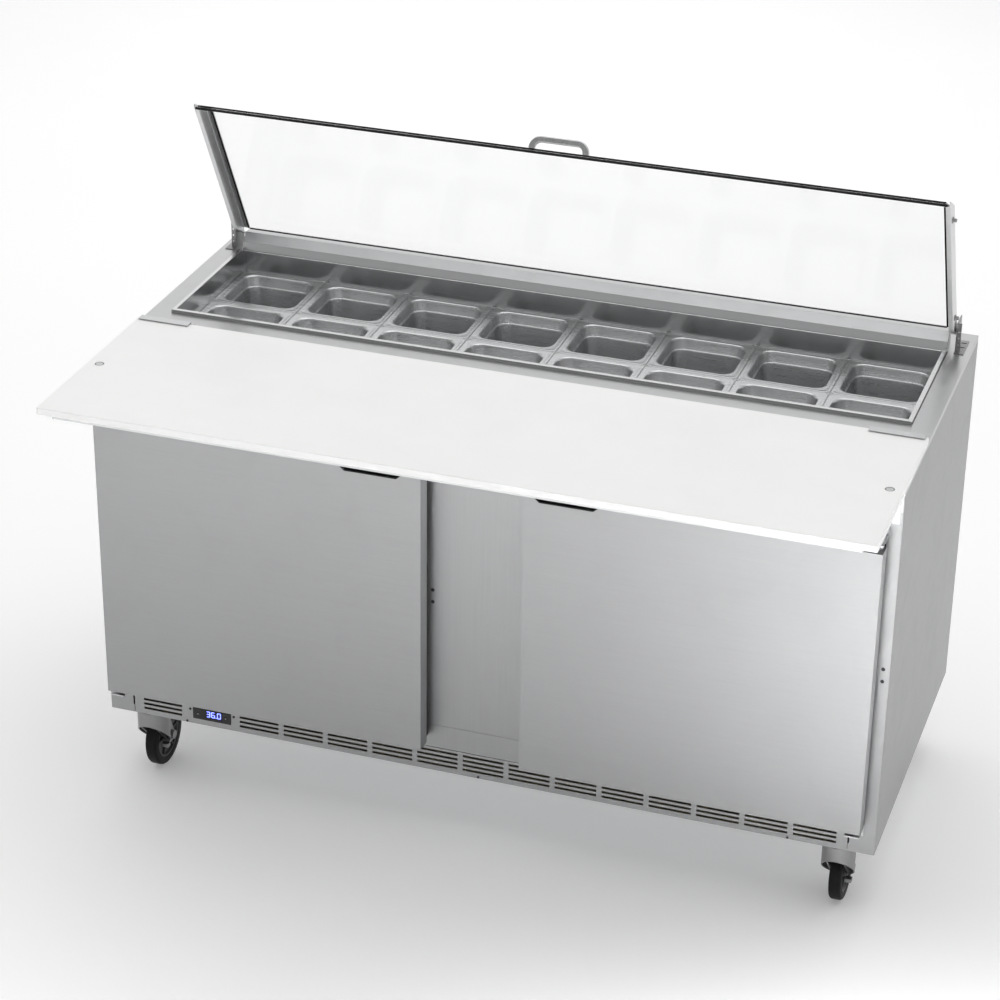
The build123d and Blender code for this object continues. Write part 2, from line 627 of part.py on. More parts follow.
def pane_outline():
    t = PANE_THICKNESS
    return [(PANE_REAR, 0), (PANE_BEND, 0), (PANE_TIP, LID_DEPTH),
            offset_tip(t), (offset_bend(t), -t), (PANE_REAR, -t)]


def lid_pane():
    return [open_lid(lid_prism(pane_outline(), -PANE_HALF, PANE_HALF))]


def lid_side_channels():
    """Wall, lip, rear lip and top flange of each channel, as flat pieces that meet."""
    t = PANE_THICKNESS
    s = LID_SIDE_SHEET
    edge = t + s
    bend = offset_bend(edge)
    wall = [(-9, -edge), (bend, -edge), offset_tip(edge), (PANE_TIP, LID_DEPTH),
            (LIP_REAR, LID_DEPTH), (-9, 4)]
    lip = [(LIP_REAR, LID_DEPTH - s), (PANE_TIP - 8, LID_DEPTH - s),
           (PANE_TIP - 8, LID_DEPTH), (LIP_REAR, LID_DEPTH)]
    rear_lip = [(LIP_REAR, LID_DEPTH - s), (LIP_REAR, LID_DEPTH), (-9, 4), (-9, 4 - s)]
    top_flange = [(0, -edge), (bend, -edge), (offset_bend(t), -t), (0, -t)]
    pieces = []
    for side in SIDES:
        inner = side * (LID_HALF - s)
        pieces.append(lid_prism(wall, inner, side * LID_HALF))
        pieces.append(lid_prism(lip, side * (LID_HALF - LIP_WIDTH), inner))
        pieces.append(lid_prism(rear_lip, side * (LID_HALF - LIP_WIDTH), inner))
        pieces.append(lid_prism(top_flange, side * TOP_FLANGE_INNER, inner))
    return [open_lid(piece) for piece in pieces]


def lid_gasket():
    front = lid_prism([(384.5, LID_DEPTH), (PANE_TIP, LID_DEPTH), (PANE_TIP, LID_DEPTH + 4),
                       (384.5, LID_DEPTH + 4)], -725, 725)
    rear = lid_prism([(1.5, -4), (PANE_REAR, -4), (PANE_REAR, 0), (1.5, 0)],
                     -TOP_FLANGE_INNER, TOP_FLANGE_INNER)
    seals = [front, rear]
    for side in SIDES:
        seals.append(lid_prism([(PANE_REAR, 0), (PANE_BEND, 0), (PANE_BEND, 1.2),
                                (PANE_REAR, 1.2)], side * 710.5, side * 713.5))
    return [open_lid(fuse([shape])) for shape in seals]


def handle_plane():
    """Plane of the handle: X across, Y outwards from the slanted lid front."""
    tip_u, tip_n = offset_tip(PANE_THICKNESS)
    u = tip_u - HANDLE_SETBACK * cos(FRONT_SLOPE)
    n = tip_n - HANDLE_SETBACK * sin(FRONT_SLOPE)
    y, z = lid_point(u, n)
    return Plane(origin=(0, y, z), x_dir=(1, 0, 0),
                 z_dir=(0, -cos(FRONT_SLOPE), -sin(FRONT_SLOPE)))


def lid_handle():
    outer = Pos(0, HANDLE_HEIGHT / 2) * Rectangle(2 * HANDLE_HALF, HANDLE_HEIGHT)
    outer = fillet(outer.vertices().group_by(Axis.Y)[-1], 23)
    inner_height = HANDLE_HEIGHT - HANDLE_BAR
    inner = Pos(0, inner_height / 2) * Rectangle(2 * (HANDLE_HALF - HANDLE_BAR), inner_height)
    inner = fillet(inner.vertices().group_by(Axis.Y)[-1], 11)
    bow = extrude(handle_plane() * (outer - inner), amount=HANDLE_THICKNESS / 2, both=True)
    return [open_lid(bow)]


def lid_hardware():
    parts = []
    for side in SIDES:
        outer = side * LID_HALF
        y, z = lid_point(0, 0)
        parts.append(rod_x(outer, outer + side * 6.0, y, z, LID_PIN_R))
        for u, n in STUD_AT:
            y, z = lid_point(u, n)
            parts.append(rod_x(outer, outer + side * 2, y, z, 6.0)
                         + rod_x(outer, outer + side * 8, y, z, 3.5))
    plane = handle_plane()
    for side in SIDES:
        screw = plane * Pos(side * HANDLE_SCREW_X, -PANE_THICKNESS - 1.0) \
            * Rot(90, 0, 0) * Cylinder(3.0, 2.0)
        parts.append(screw)
    return [open_lid(part) for part in parts]


def lid_hinge_brackets():
    """Upstands beside the lid, each with a pin hole, a drilled flange and a slotted foot."""
    brackets = []
    front = BRACKET_Y[0]
    for side in SIDES:
        base = side_box(side, *BRACKET_BASE_X, *BRACKET_BASE_Y, DECK_Z, DECK_Z + 1.5)
        for y in BRACKET_SLOT_Y:
            base -= side_box(side, *BRACKET_SLOT_X, y - 2, y + 2, DECK_Z - CUT, DECK_Z + CUT)
        upstand = side_box(side, *BRACKET_X, *BRACKET_Y, DECK_Z, BRACKET_TOP_Z)
        upstand -= rod_x(side * (BRACKET_X[0] - CUT), side * (BRACKET_X[1] + CUT),
                         HINGE_Y, HINGE_Z, LID_BORE_R)
        flange = side_box(side, BRACKET_X[0], BRACKET_FLANGE_X, front, front + 1.5,
                          DECK_Z, BRACKET_TOP_Z)
        hole_x = side * (BRACKET_X[1] + BRACKET_FLANGE_X) / 2
        for z in BRACKET_HOLE_Z:
            flange -= rod_y(hole_x, front - CUT, front + CUT, z, BRACKET_HOLE_R)
        brackets.append(fuse([base, upstand, flange]))
    return brackets


# ---------------------------------------------------------------- doors
def door_span(side, inset=0.0):
    """X limits of one door, drawn in by the inset."""
    return side * (DOOR_INNER + inset), side * (DOOR_OUTER - inset)


def door_block(side, inset, y0, y1):
    """Door-shaped block."""
    x0, x1 = door_span(side, inset)
    return box(x0, x1, y0, y1, DOOR_BOTTOM_Z + inset, DOOR_TOP_Z - inset)


def pivot_bores(side):
    """Pin holes in the door's bottom and top edges."""
    x = side * DOOR_PIVOT_X
    return [rod_z(x, DOOR_PIVOT_Y, DOOR_BOTTOM_Z - 1, DOOR_BOTTOM_Z + 15, PIVOT_BORE_R),
            rod_z(x, DOOR_PIVOT_Y, DOOR_TOP_Z - 15, DOOR_TOP_Z + 1, PIVOT_BORE_R)]


def grip_recess(name):
    """Room for the grip insert: pocket behind the skin and notch through it."""
    x = GRIP_CENTRE[name]
    pocket = box(x - GRIP_HALF, x + GRIP_HALF, DOOR_FRONT_Y + DOOR_SKIN, GRIP_BACK_Y,
                 GRIP_BOTTOM_Z, DOOR_TOP_Z + 1)
    notch = prism_y([(x - GRIP_HALF, DOOR_TOP_Z + 1), (x - GRIP_NOTCH_HALF, GRIP_NOTCH_Z),
                     (x + GRIP_NOTCH_HALF, GRIP_NOTCH_Z), (x + GRIP_HALF, DOOR_TOP_Z + 1)],
                    DOOR_FRONT_Y - 1, DOOR_FRONT_Y + DOOR_SKIN + 0.5)
    return pocket, notch


def door_skin(name, side):
    shell = door_block(side, 0, DOOR_FRONT_Y, DOOR_BACK_Y)
    shell -= door_block(side, DOOR_SKIN, DOOR_FRONT_Y + DOOR_SKIN, DOOR_BACK_Y + 1)
    pocket, notch = grip_recess(name)
    return [shell - ([pocket, notch] + pivot_bores(side))]


def door_core(name, side):
    core = door_block(side, DOOR_SKIN, DOOR_FRONT_Y + DOOR_SKIN, DOOR_BACK_Y)
    pocket, _ = grip_recess(name)
    x0, x1 = door_span(side, 30)
    dish = box(x0, x1, DOOR_BACK_Y - 3, DOOR_BACK_Y + 1, DOOR_BOTTOM_Z + 30, DOOR_TOP_Z - 30)
    return [core - ([pocket, dish] + pivot_bores(side))]


def door_gasket(side):
    """Four strips of magnetic gasket, each with a groove along its outer edge."""
    x0, x1 = sorted(door_span(side, GASKET_INSET))
    z0 = DOOR_BOTTOM_Z + GASKET_INSET
    z1 = DOOR_TOP_Z - GASKET_INSET
    w = GASKET_WIDTH
    outer = door_block(side, GASKET_INSET - 1, GASKET_GROOVE_Y, GASKET_GROOVE_Y + 4)
    lip = door_block(side, GASKET_INSET + 2.5, GASKET_GROOVE_Y, GASKET_GROOVE_Y + 4)
    groove = outer - lip
    spans = [(x0, x1, z0, z0 + w), (x0, x1, z1 - w, z1),
             (x0, x0 + w, z0 + w, z1 - w), (x1 - w, x1, z0 + w, z1 - w)]
    return [box(a, b, DOOR_BACK_Y, GASKET_FACE_Y, c, d) - groove for a, b, c, d in spans]


def door_grip(name):
    pocket, notch = grip_recess(name)
    x = GRIP_CENTRE[name]
    w = GRIP_WALL
    block = box(x - GRIP_HALF, x + GRIP_HALF, DOOR_FRONT_Y + DOOR_SKIN, GRIP_BACK_Y,
                GRIP_BOTTOM_Z, DOOR_TOP_Z)
    hollow = box(x - GRIP_HALF + w, x + GRIP_HALF - w, DOOR_FRONT_Y + DOOR_SKIN + w,
                 GRIP_BACK_Y - w, GRIP_BOTTOM_Z + w, DOOR_TOP_Z + 1)
    front_cut = prism_y([(x - GRIP_HALF + w, DOOR_TOP_Z + 1),
                         (x - GRIP_NOTCH_HALF + w, GRIP_NOTCH_Z + w),
                         (x + GRIP_NOTCH_HALF - w, GRIP_NOTCH_Z + w),
                         (x + GRIP_HALF - w, DOOR_TOP_Z + 1)],
                        DOOR_FRONT_Y - 1, DOOR_FRONT_Y + 6)
    return [block - [hollow, front_cut]]


def door_hinges():
    hinges = []
    gap = 10.0
    inner_x, outer_x = HINGE_PLATE_X
    for side in SIDES:
        x = side * DOOR_PIVOT_X
        for edge, up in ((DOOR_BOTTOM_Z, 1), (DOOR_TOP_Z, -1)):
            near = edge - up * gap
            far = near - up * 3
            plate = side_box(side, inner_x, outer_x, FRAME_Y - HINGE_PLATE_REACH, FRAME_Y,
                             near, far)
            leg = side_box(side, inner_x, outer_x, FRAME_Y - 3, FRAME_Y, near, near - up * 22)
            pin = rod_z(x, DOOR_PIVOT_Y, far, edge + up * 13, PIVOT_PIN_R)
            washer = rod_z(x, DOOR_PIVOT_Y, near, edge - up * 0.4, 6.5)
            head = rod_z(x, DOOR_PIVOT_Y, far, far - up * 5, 6.5)
            hinges.append(fuse([plate, leg, pin, washer, head]))
    return hinges


# ---------------------------------------------------------------- cutting board
def cutting_board():
    board = box(-HALF_WIDTH, HALF_WIDTH, BOARD_FRONT_Y, BOARD_REAR_Y,
                BOARD_BOTTOM_Z, BOARD_TOP_Z)
    board = fillet(board.edges().filter_by(Axis.Z), 4)
    board = chamfer(board.faces().sort_by(Axis.Z)[-1].edges(), 0.8)
    holes = [rod_z(s * BOARD_PIN_X, BOARD_PIN_Y, BOARD_BOTTOM_Z - 5, BOARD_TOP_Z + 5,
                   BOARD_HOLE_R) for s in SIDES]
    return [board - holes]


def board_supports():
    """Front bar, three arms, shelf and wall plates, and the two pins that hold the board."""
    top = BOARD_BOTTOM_Z
    plate_z = top - PLATE_GAUGE
    wall_y = FRAME_Y - WALL_PLATE_GAUGE
    wall_z = top - WALL_PLATE_DROP
    bar_y = BOARD_FRONT_Y + 8
    arm_front = bar_y + ARM_GAUGE
    solids = [box(ARM_X[0], -ARM_X[0], bar_y, arm_front, top - 8, top)]
    for x in ARM_X:
        solids.append(prism_x([(arm_front, plate_z), (arm_front, top - 10),
                               (wall_y, top - 55), (wall_y, plate_z)], x, x + ARM_GAUGE))
    for side in SIDES:
        solids.append(side_box(side, *BRACKET_PLATE_X, arm_front, FRAME_Y, plate_z, top))
        solids.append(side_box(side, *BRACKET_PLATE_X, wall_y, FRAME_Y, wall_z, plate_z))
        pin = rod_z(side * BOARD_PIN_X, BOARD_PIN_Y, top, BOARD_TOP_Z - 0.1, BOARD_PIN_R)
        solids.append(chamfer(pin.edges().sort_by(Axis.Z)[-1], 0.5))
    half = CENTRE_PLATE_HALF
    solids.append(box(-half, half, wall_y, FRAME_Y, wall_z, plate_z))
    solids.append(box(-half, half, arm_front, FRAME_Y, plate_z, top))
    return solids


def board_clips():
    """Folded clips over the board's rear edge."""
    clips = []
    top = BOARD_TOP_Z + CLIP_GAUGE
    nose_y, web_y, foot_y, foot_end_y = CLIP_Y
    for side in SIDES:
        clips.append(side_box(side, *CLIP_X, nose_y, foot_y, top, top + CLIP_GAUGE))
        clips.append(side_box(side, *CLIP_X, web_y, foot_y, DECK_Z, top))
        clips.append(side_box(side, *CLIP_X, foot_y, foot_end_y, DECK_Z, DECK_Z + CLIP_GAUGE))
    return clips


# ---------------------------------------------------------------- interior fittings
def wire_shelves():
    shelves = []
    x0, x1 = SHELF_X
    half = SHELF_WIRE / 2
    pitch = (x1 - x0 - 2 * SHELF_WIRE) / (SHELF_WIRES - 1)
    for side in SIDES:
        wires = [side_box(side, x0, x1, y - SHELF_BEARER / 2, y + SHELF_BEARER / 2,
                          SHELF_Z - SHELF_BEARER, SHELF_Z)
                 for y in SHELF_BEARER_Y]
        for k in range(SHELF_WIRES):
            x = x0 + SHELF_WIRE + k * pitch
            wires.append(side_box(side, x - half, x + half, *SHELF_Y, SHELF_Z,
                                  SHELF_Z + SHELF_WIRE))
        shelves.append(fuse(wires))
    return shelves


def shelf_rails():
    """Uprights at the walls and the middle, with a rest for each shelf bearer."""
    rails = []
    for y in RAIL_Y:
        for side in SIDES:
            rails.append(side_box(side, *RAIL_X, y - RAIL_HALF, y + RAIL_HALF,
                                  CAVITY_FLOOR_Z + 8, CAVITY_TOP_Z - 60))
        rails.append(box(-CENTRE_RAIL_HALF, CENTRE_RAIL_HALF, y - RAIL_HALF, y + RAIL_HALF,
                         CAVITY_FLOOR_Z + LINER, CAVITY_TOP_Z - LINER))
        for x0, x1 in REST_SPANS:
            rails.append(box(x0, x1, y - REST_HALF, y + REST_HALF,
                             SHELF_Z - SHELF_BEARER - 3, SHELF_Z - SHELF_BEARER))
    return rails


def evaporator_coil():
    """Finned coil behind a shroud with the fan's opening, and the fan motor."""
    x, z = EVAPORATOR_X, EVAPORATOR_Z
    half = EVAPORATOR_HALF
    height = EVAPORATOR_HALF_HEIGHT
    coil_front, coil_back = EVAPORATOR_COIL_Y
    shroud_front, shroud_back = SHROUD_Y
    casing_back = CAVITY_BACK_Y - LINER
    low, high = z - SHROUD_HALF_HEIGHT, z + SHROUD_HALF_HEIGHT
    coil = box(x - half, x + half, coil_front, coil_back, z - height, z + height)
    grooves = []
    for k in range(31):
        left = x - half + 10 + k * COIL_FIN_PITCH
        grooves.append(box(left, left + COIL_FIN_GAP, coil_front - CUT, coil_front + 7,
                           z - height + 3, z + height - 3))
    shroud = box(x - half - 4, x + half + 4, shroud_front, shroud_back, low, high)
    shroud -= rod_y(x, shroud_front - CUT, shroud_back + CUT, z, 66)
    parts = [coil - grooves, shroud]
    for s in SIDES:
        cheek = x + s * (half + 2)
        parts.append(box(cheek - 2, cheek + 2, shroud_back, casing_back, low, high))
    parts.append(box(x - half, x + half, shroud_back, casing_back, low, low + 2))
    motor = rod_y(x, coil_front - 14, coil_front, z, 22)
    motor += rod_y(x, FAN_Y - 6, coil_front - 14, z, FAN_SHAFT_R)
    parts.append(motor)
    return parts


def fan_wheel(reach, hub_r, hub_length, blade_depth=30.0, blade_tilt=32.0, blade_count=5):
    """Fan about the Y axis: hub and tilted blades round a shaft bore."""
    bore = Rot(90, 0, 0) * Cylinder(FAN_BORE_R, 2 * hub_length + blade_depth)
    parts = [Rot(90, 0, 0) * Cylinder(hub_r, hub_length)]
    for k in range(blade_count):
        blade = Pos((hub_r + reach) / 2, 0, 0) * Rot(blade_tilt, 0, 0) \
            * Box(reach - hub_r + 4, 1.6, blade_depth)
        parts.append(Rot(0, 360 * k / blade_count, 0) * blade)
    return fuse(parts) - bore


def evaporator_fan():
    return [Pos(EVAPORATOR_X, FAN_Y, EVAPORATOR_Z) * fan_wheel(60, 15, 12)]


def compressor():
    """Rounded shell on a base plate, with a terminal box and a stub of suction pipe."""
    x, y, floor = COMPRESSOR_X, MACHINE_Y, MACHINE_FLOOR_Z
    pipe_x = x - 30
    base = box(x - 95, x + 95, y - 70, y + 70, floor, floor + 8)
    shell = rod_z(x, y, floor + 8, floor + 150, 62)
    shell = fillet(shell.edges().sort_by(Axis.Z)[-1], 18)
    terminal = box(x + 58, x + 92, y - 24, y + 24, floor + 60, floor + 110)
    suction = rod_z(pipe_x, y - 20, floor + 140, floor + 196, 5.0)
    crossover = rod_y(pipe_x, y - 80, y - 17, floor + 194, 4.0)
    return [fuse([base, shell, terminal, suction, crossover])]


def condenser_coil():
    """Finned coil, top plate and shroud with the fan's opening, and the fan motor."""
    x, floor = CONDENSER_X, MACHINE_FLOOR_Z
    top = floor + CONDENSER_HEIGHT
    shroud_x = x - CONDENSER_DEPTH
    front, rear = MACHINE_Y - CONDENSER_HALF, MACHINE_Y + CONDENSER_HALF
    coil = box(x, x + CONDENSER_DEPTH, front, rear, floor, top)
    grooves = []
    for k in range(12):
        near = front + 6 + k * COIL_FIN_PITCH
        grooves.append(box(x + 48, x + 62, near, near + COIL_FIN_GAP, floor + 6, top - 6))
    shroud = box(shroud_x - 2, shroud_x, front, rear, floor, top)
    shroud -= rod_x(shroud_x - 2 - CUT, shroud_x + CUT, MACHINE_Y, CONDENSER_FAN_Z, 70)
    cap = box(shroud_x - 2, x, front, rear, top - 2, top)
    motor = rod_x(x - 16, x, MACHINE_Y, CONDENSER_FAN_Z, 26)
    motor += rod_x(x - 44, x - 16, MACHINE_Y, CONDENSER_FAN_Z, FAN_SHAFT_R)
    return [coil - grooves, shroud, cap, motor]


def condenser_fan():
    fan = Rot(0, 0, 90) * fan_wheel(64, 16, 14)
    return [Pos(CONDENSER_FAN_X, MACHINE_Y, CONDENSER_FAN_Z) * fan]


def cord_inlet():
    """Hollow bush through the machine cover, held by a flange and a nut."""
    inside = MACHINE_COVER_Y - 6
    bush = rod_y(INLET_X, inside, REAR_Y - 2, INLET_Z, INLET_HOLE_R - 0.1)
    flange = rod_y(INLET_X, MACHINE_COVER_Y, MACHINE_COVER_Y + 3, INLET_Z, 13)
    nut = rod_y(INLET_X, inside, MACHINE_COVER_Y - SHEET, INLET_Z, 12)
    bore = rod_y(INLET_X, inside - CUT, REAR_Y + CUT, INLET_Z, 4.5)
    return [fuse([bush, flange, nut]) - bore]


# ---------------------------------------------------------------- casters
CASTERS = {
    "front_left": (-CASTER_X, CASTER_FRONT_Y, 1),
    "front_right": (CASTER_X, CASTER_FRONT_Y, 1),
    "rear_left": (-CASTER_X, CASTER_REAR_Y, -1),
    "rear_right": (CASTER_X, CASTER_REAR_Y, -1),
}


def place_caster(name, shape):
    """Move a caster part built at the stem, turning rear ones to face forward."""
    x, y, facing = CASTERS[name]
    turn = 0 if facing > 0 else 180
    return Pos(x, y, 0) * Rot(0, 0, turn) * shape


def caster_mounts():
    mounts = []
    for name in CASTERS:
        disc = rod_z(0, 0, HOOD_TOP_Z + 1, CABINET_Z, 29)
        pin = rod_z(0, 0, 138, HOOD_TOP_Z + 1, KINGPIN_R)
        head = rod_z(0, 0, 138, 142, 10)
        mounts.append(place_caster(name, fuse([disc, pin, head])))
    return mounts


def rim_z(y):
    """Height of the hood's slanted rim, y behind the stem."""
    return HOOD_RIM_Z - HOOD_RIM_SLOPE * y


def caster_fork(name):
    solid = rod_z(0, 0, 30, HOOD_TOP_Z, HOOD_R)
    solid = fillet(solid.edges().sort_by(Axis.Z)[-1], 3)
    solid -= rod_z(0, 0, 20, HOOD_TOP_Z - 4, HOOD_R - HOOD_SHELL)
    below = prism_x([(-40, 20), (-40, rim_z(-40)), (40, rim_z(40)), (40, 20)], -40, 40)
    wheel_slot = box(-14.5, 14.5, 0, 40, 20, 131)
    hood = solid - [below, wheel_slot]
    legs = []
    outline = [(-24, rim_z(-24)), (26, rim_z(26)), (34, 52.5), (44, 51.5), (51, 56),
               (53, 64), (50, 72), (30, 122), (24, 145), (-24, 145)]
    for side in SIDES:
        legs.append(prism_x(outline, side * FORK_LEG_INNER, side * FORK_LEG_OUTER))
    head_x = 21.4 if name.startswith("front") else FORK_LEG_OUTER
    axle = rod_x(-FORK_LEG_OUTER, head_x, TRAIL, WHEEL_R, AXLE_R)
    nut = Pos(-FORK_LEG_OUTER - 2.5, TRAIL, WHEEL_R) * Rot(0, 90, 0) \
        * extrude(RegularPolygon(8.5, 6), amount=2.5, both=True)
    head = rod_x(head_x, head_x + 3, TRAIL, WHEEL_R, 9)
    body = fuse([hood] + legs + [axle, nut, head])
    body -= rod_z(0, 0, 130, 160, KINGPIN_BORE_R)
    return [place_caster(name, body)]


def caster_wheel(name):
    wheel = rod_x(-WHEEL_HALF, WHEEL_HALF, 0, 0, WHEEL_R)
    wheel = fillet(wheel.edges().filter_by(GeomType.CIRCLE), 5)
    for side in SIDES:
        recess = rod_x(side * 6, side * 13, 0, 0, 46) - rod_x(side * 5, side * 14, 0, 0, 17)
        wheel -= recess
    hub = rod_x(-14, 14, 0, 0, 11)
    wheel = wheel + hub - rod_x(-20, 20, 0, 0, AXLE_BORE_R)
    return [place_caster(name, Pos(0, TRAIL, WHEEL_R) * wheel)]


def caster_brake(name):
    """Lever on the axle, necked under the hood's rim, with a pedal at its end."""
    outline = [(4, 54), (30, 52.5), (41, 53), (51, 58), (51, 69), (41, 74), (33, 70),
               (26, 57.3), (10, 60.5), (4, 60.5)]
    arm = prism_x(outline, 18.4, 20.9)
    pedal = box(13.6, 26.5, 4, 15, 54, 62)
    arm = fuse([arm, pedal]) - rod_x(15, 30, TRAIL, WHEEL_R, AXLE_BORE_R)
    return [place_caster(name, arm)]


# ---------------------------------------------------------------- export
PARTS = {
    "side_panels": side_panels,
    "back_panel": back_panel,
    "base_pan": base_pan,
    "top_deck": top_deck,
    "front_frame": front_frame,
    "frame_plugs": frame_plugs,
    "kick_grille": kick_grille,
    "thermostat": thermostat,
    "thermostat_button_left": lambda: thermostat_button(-1),
    "thermostat_button_right": lambda: thermostat_button(1),
    "foam_insulation": foam_insulation,
    "cabinet_liner": cabinet_liner,
    "food_well": food_well,
    "adapter_bars": adapter_bars,
    "lid_riser": lid_riser,
    "lid_hinge_brackets": lid_hinge_brackets,
    "lid_pane": lid_pane,
    "lid_side_channels": lid_side_channels,
    "lid_gasket": lid_gasket,
    "lid_handle": lid_handle,
    "lid_hardware": lid_hardware,
    "door_hinges": door_hinges,
    "cutting_board": cutting_board,
    "board_supports": board_supports,
    "board_clips": board_clips,
    "wire_shelves": wire_shelves,
    "shelf_rails": shelf_rails,
    "evaporator_coil": evaporator_coil,
    "evaporator_fan": evaporator_fan,
    "compressor": compressor,
    "condenser_coil": condenser_coil,
    "condenser_fan": condenser_fan,
    "cord_inlet": cord_inlet,
    "caster_mounts": caster_mounts,
}
for door, door_side in (("left", -1), ("right", 1)):
    PARTS[f"door_{door}_skin"] = lambda n=door, s=door_side: door_skin(n, s)
    PARTS[f"door_{door}_core"] = lambda n=door, s=door_side: door_core(n, s)
    PARTS[f"door_{door}_gasket"] = lambda s=door_side: door_gasket(s)
    PARTS[f"door_{door}_grip"] = lambda n=door: door_grip(n)
for pan_column in range(PAN_COLUMNS):
    PARTS[f"food_pans_column_{pan_column + 1}"] = lambda c=pan_column: food_pans(c)
for caster in CASTERS:
    PARTS[f"caster_fork_{caster}"] = lambda n=caster: caster_fork(n)
    PARTS[f"caster_wheel_{caster}"] = lambda n=caster: caster_wheel(n)
    if caster.startswith("front"):
        PARTS[f"caster_brake_{caster}"] = lambda n=caster: caster_brake(n)

os.makedirs("parts", exist_ok=True)
for part_name, make in PARTS.items():
    export_step(group(make()), f"parts/{part_name}.step")
print(len(PARTS), "parts")
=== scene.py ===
"""Looks of the refrigerated sandwich prep table: finishes, soft edges, fittings, light, camera."""
import json
import math

import bmesh
import bpy
import numpy as np
from mathutils import Matrix, Vector

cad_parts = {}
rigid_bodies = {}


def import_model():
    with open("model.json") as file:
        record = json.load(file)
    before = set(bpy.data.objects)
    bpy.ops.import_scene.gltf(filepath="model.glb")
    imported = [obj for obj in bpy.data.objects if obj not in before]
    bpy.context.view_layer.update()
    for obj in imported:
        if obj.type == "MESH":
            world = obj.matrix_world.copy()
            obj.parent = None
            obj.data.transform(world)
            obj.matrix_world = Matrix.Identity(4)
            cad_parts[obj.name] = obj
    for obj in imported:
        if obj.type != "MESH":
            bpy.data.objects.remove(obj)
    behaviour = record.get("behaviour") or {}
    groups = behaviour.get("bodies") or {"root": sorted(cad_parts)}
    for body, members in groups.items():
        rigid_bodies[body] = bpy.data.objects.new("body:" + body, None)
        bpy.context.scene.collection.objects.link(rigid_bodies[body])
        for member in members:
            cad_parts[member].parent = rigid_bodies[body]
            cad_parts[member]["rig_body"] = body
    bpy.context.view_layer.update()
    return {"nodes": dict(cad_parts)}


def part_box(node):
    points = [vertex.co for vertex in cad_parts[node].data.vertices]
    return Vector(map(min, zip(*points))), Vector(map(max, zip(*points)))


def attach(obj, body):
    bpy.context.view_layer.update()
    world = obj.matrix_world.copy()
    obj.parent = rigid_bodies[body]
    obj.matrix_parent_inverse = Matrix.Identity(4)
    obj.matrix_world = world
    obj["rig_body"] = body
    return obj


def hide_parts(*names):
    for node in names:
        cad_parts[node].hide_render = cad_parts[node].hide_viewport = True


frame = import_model()
MM = 0.001
CABINET_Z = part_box("side_panels")[0].z
SIDES = (-1, 1)
CORNERS = ("front_left", "front_right", "rear_left", "rear_right")
SEGMENTS_SCREW = 24
SEGMENTS_MARK = 20
SEGMENTS_CORE = 96
SEGMENTS_TYRE = 128
# the smallest radius of a turned solid, which leaves a pinhole too small to see
NEAR_AXIS = 0.0001


# ---------------------------------------------------------------- shader graphs
class Graph:
    """One material and its nodes."""

    def __init__(self, name):
        self.material = bpy.data.materials.new(name)
        self.material.use_nodes = True
        self.tree = self.material.node_tree
        self.tree.nodes.clear()
        self.output = self.tree.nodes.new("ShaderNodeOutputMaterial")

    def add(self, kind, inputs=None, **settings):
        """New node; an input given as a socket is linked, any other value is set."""
        node = self.tree.nodes.new("ShaderNode" + kind)
        for key, value in settings.items():
            setattr(node, key, value)
        for key, value in (inputs or {}).items():
            if isinstance(value, bpy.types.NodeSocket):
                self.tree.links.new(value, node.inputs[key])
            else:
                node.inputs[key].default_value = value
        return node

    def place(self, scale=(1.0, 1.0, 1.0)):
        """Coordinates on the piece in metres, stretched by scale."""
        coordinates = self.add("TexCoord").outputs["Object"]
        return self.add("Mapping", {"Vector": coordinates, "Scale": scale}).outputs["Vector"]

    def noise(self, scale, stretch=(1.0, 1.0, 1.0), detail=3.0, roughness=0.5, distortion=0.0):
        """Noise value on the piece."""
        node = self.add("TexNoise", {"Vector": self.place(stretch), "Scale": scale,
                                     "Detail": detail, "Roughness": roughness,
                                     "Distortion": distortion})
        return node.outputs["Fac"]

    def span(self, value, low, high, source=(0.3, 0.7)):
        """Value spread from its source range to low..high."""
        node = self.add("MapRange", {"Value": value, "From Min": source[0],
                                     "From Max": source[1], "To Min": low, "To Max": high})
        return node.outputs["Result"]

    def maths(self, operation, a, b):
        """Result of an operation on two values."""
        return self.add("Math", {0: a, 1: b}, operation=operation).outputs["Value"]

    def blend(self, factor, a, b):
        """Colour between a and b."""
        node = self.add("Mix", {0: factor, 6: a, 7: b}, data_type="RGBA")
        return node.outputs[2]

    def bump(self, height, strength, distance):
        """Normal for a surface with this height, in metres."""
        inputs = {"Height": height, "Strength": strength, "Distance": distance}
        return self.add("Bump", inputs).outputs["Normal"]

    def surface(self, inputs):
        """Principled shader on the output."""
        shader = self.add("BsdfPrincipled", inputs)
        self.tree.links.new(shader.outputs["BSDF"], self.output.inputs["Surface"])
        return self.material


def tone(colour, factor):
    """The colour made lighter or darker."""
    return tuple(min(1.0, channel * factor) for channel in colour[:3]) + (1.0,)


def grain_stretch(axis, along, across):
    """Noise stretch with long streaks along one axis."""
    return tuple(along if name == axis else across for name in "XYZ")


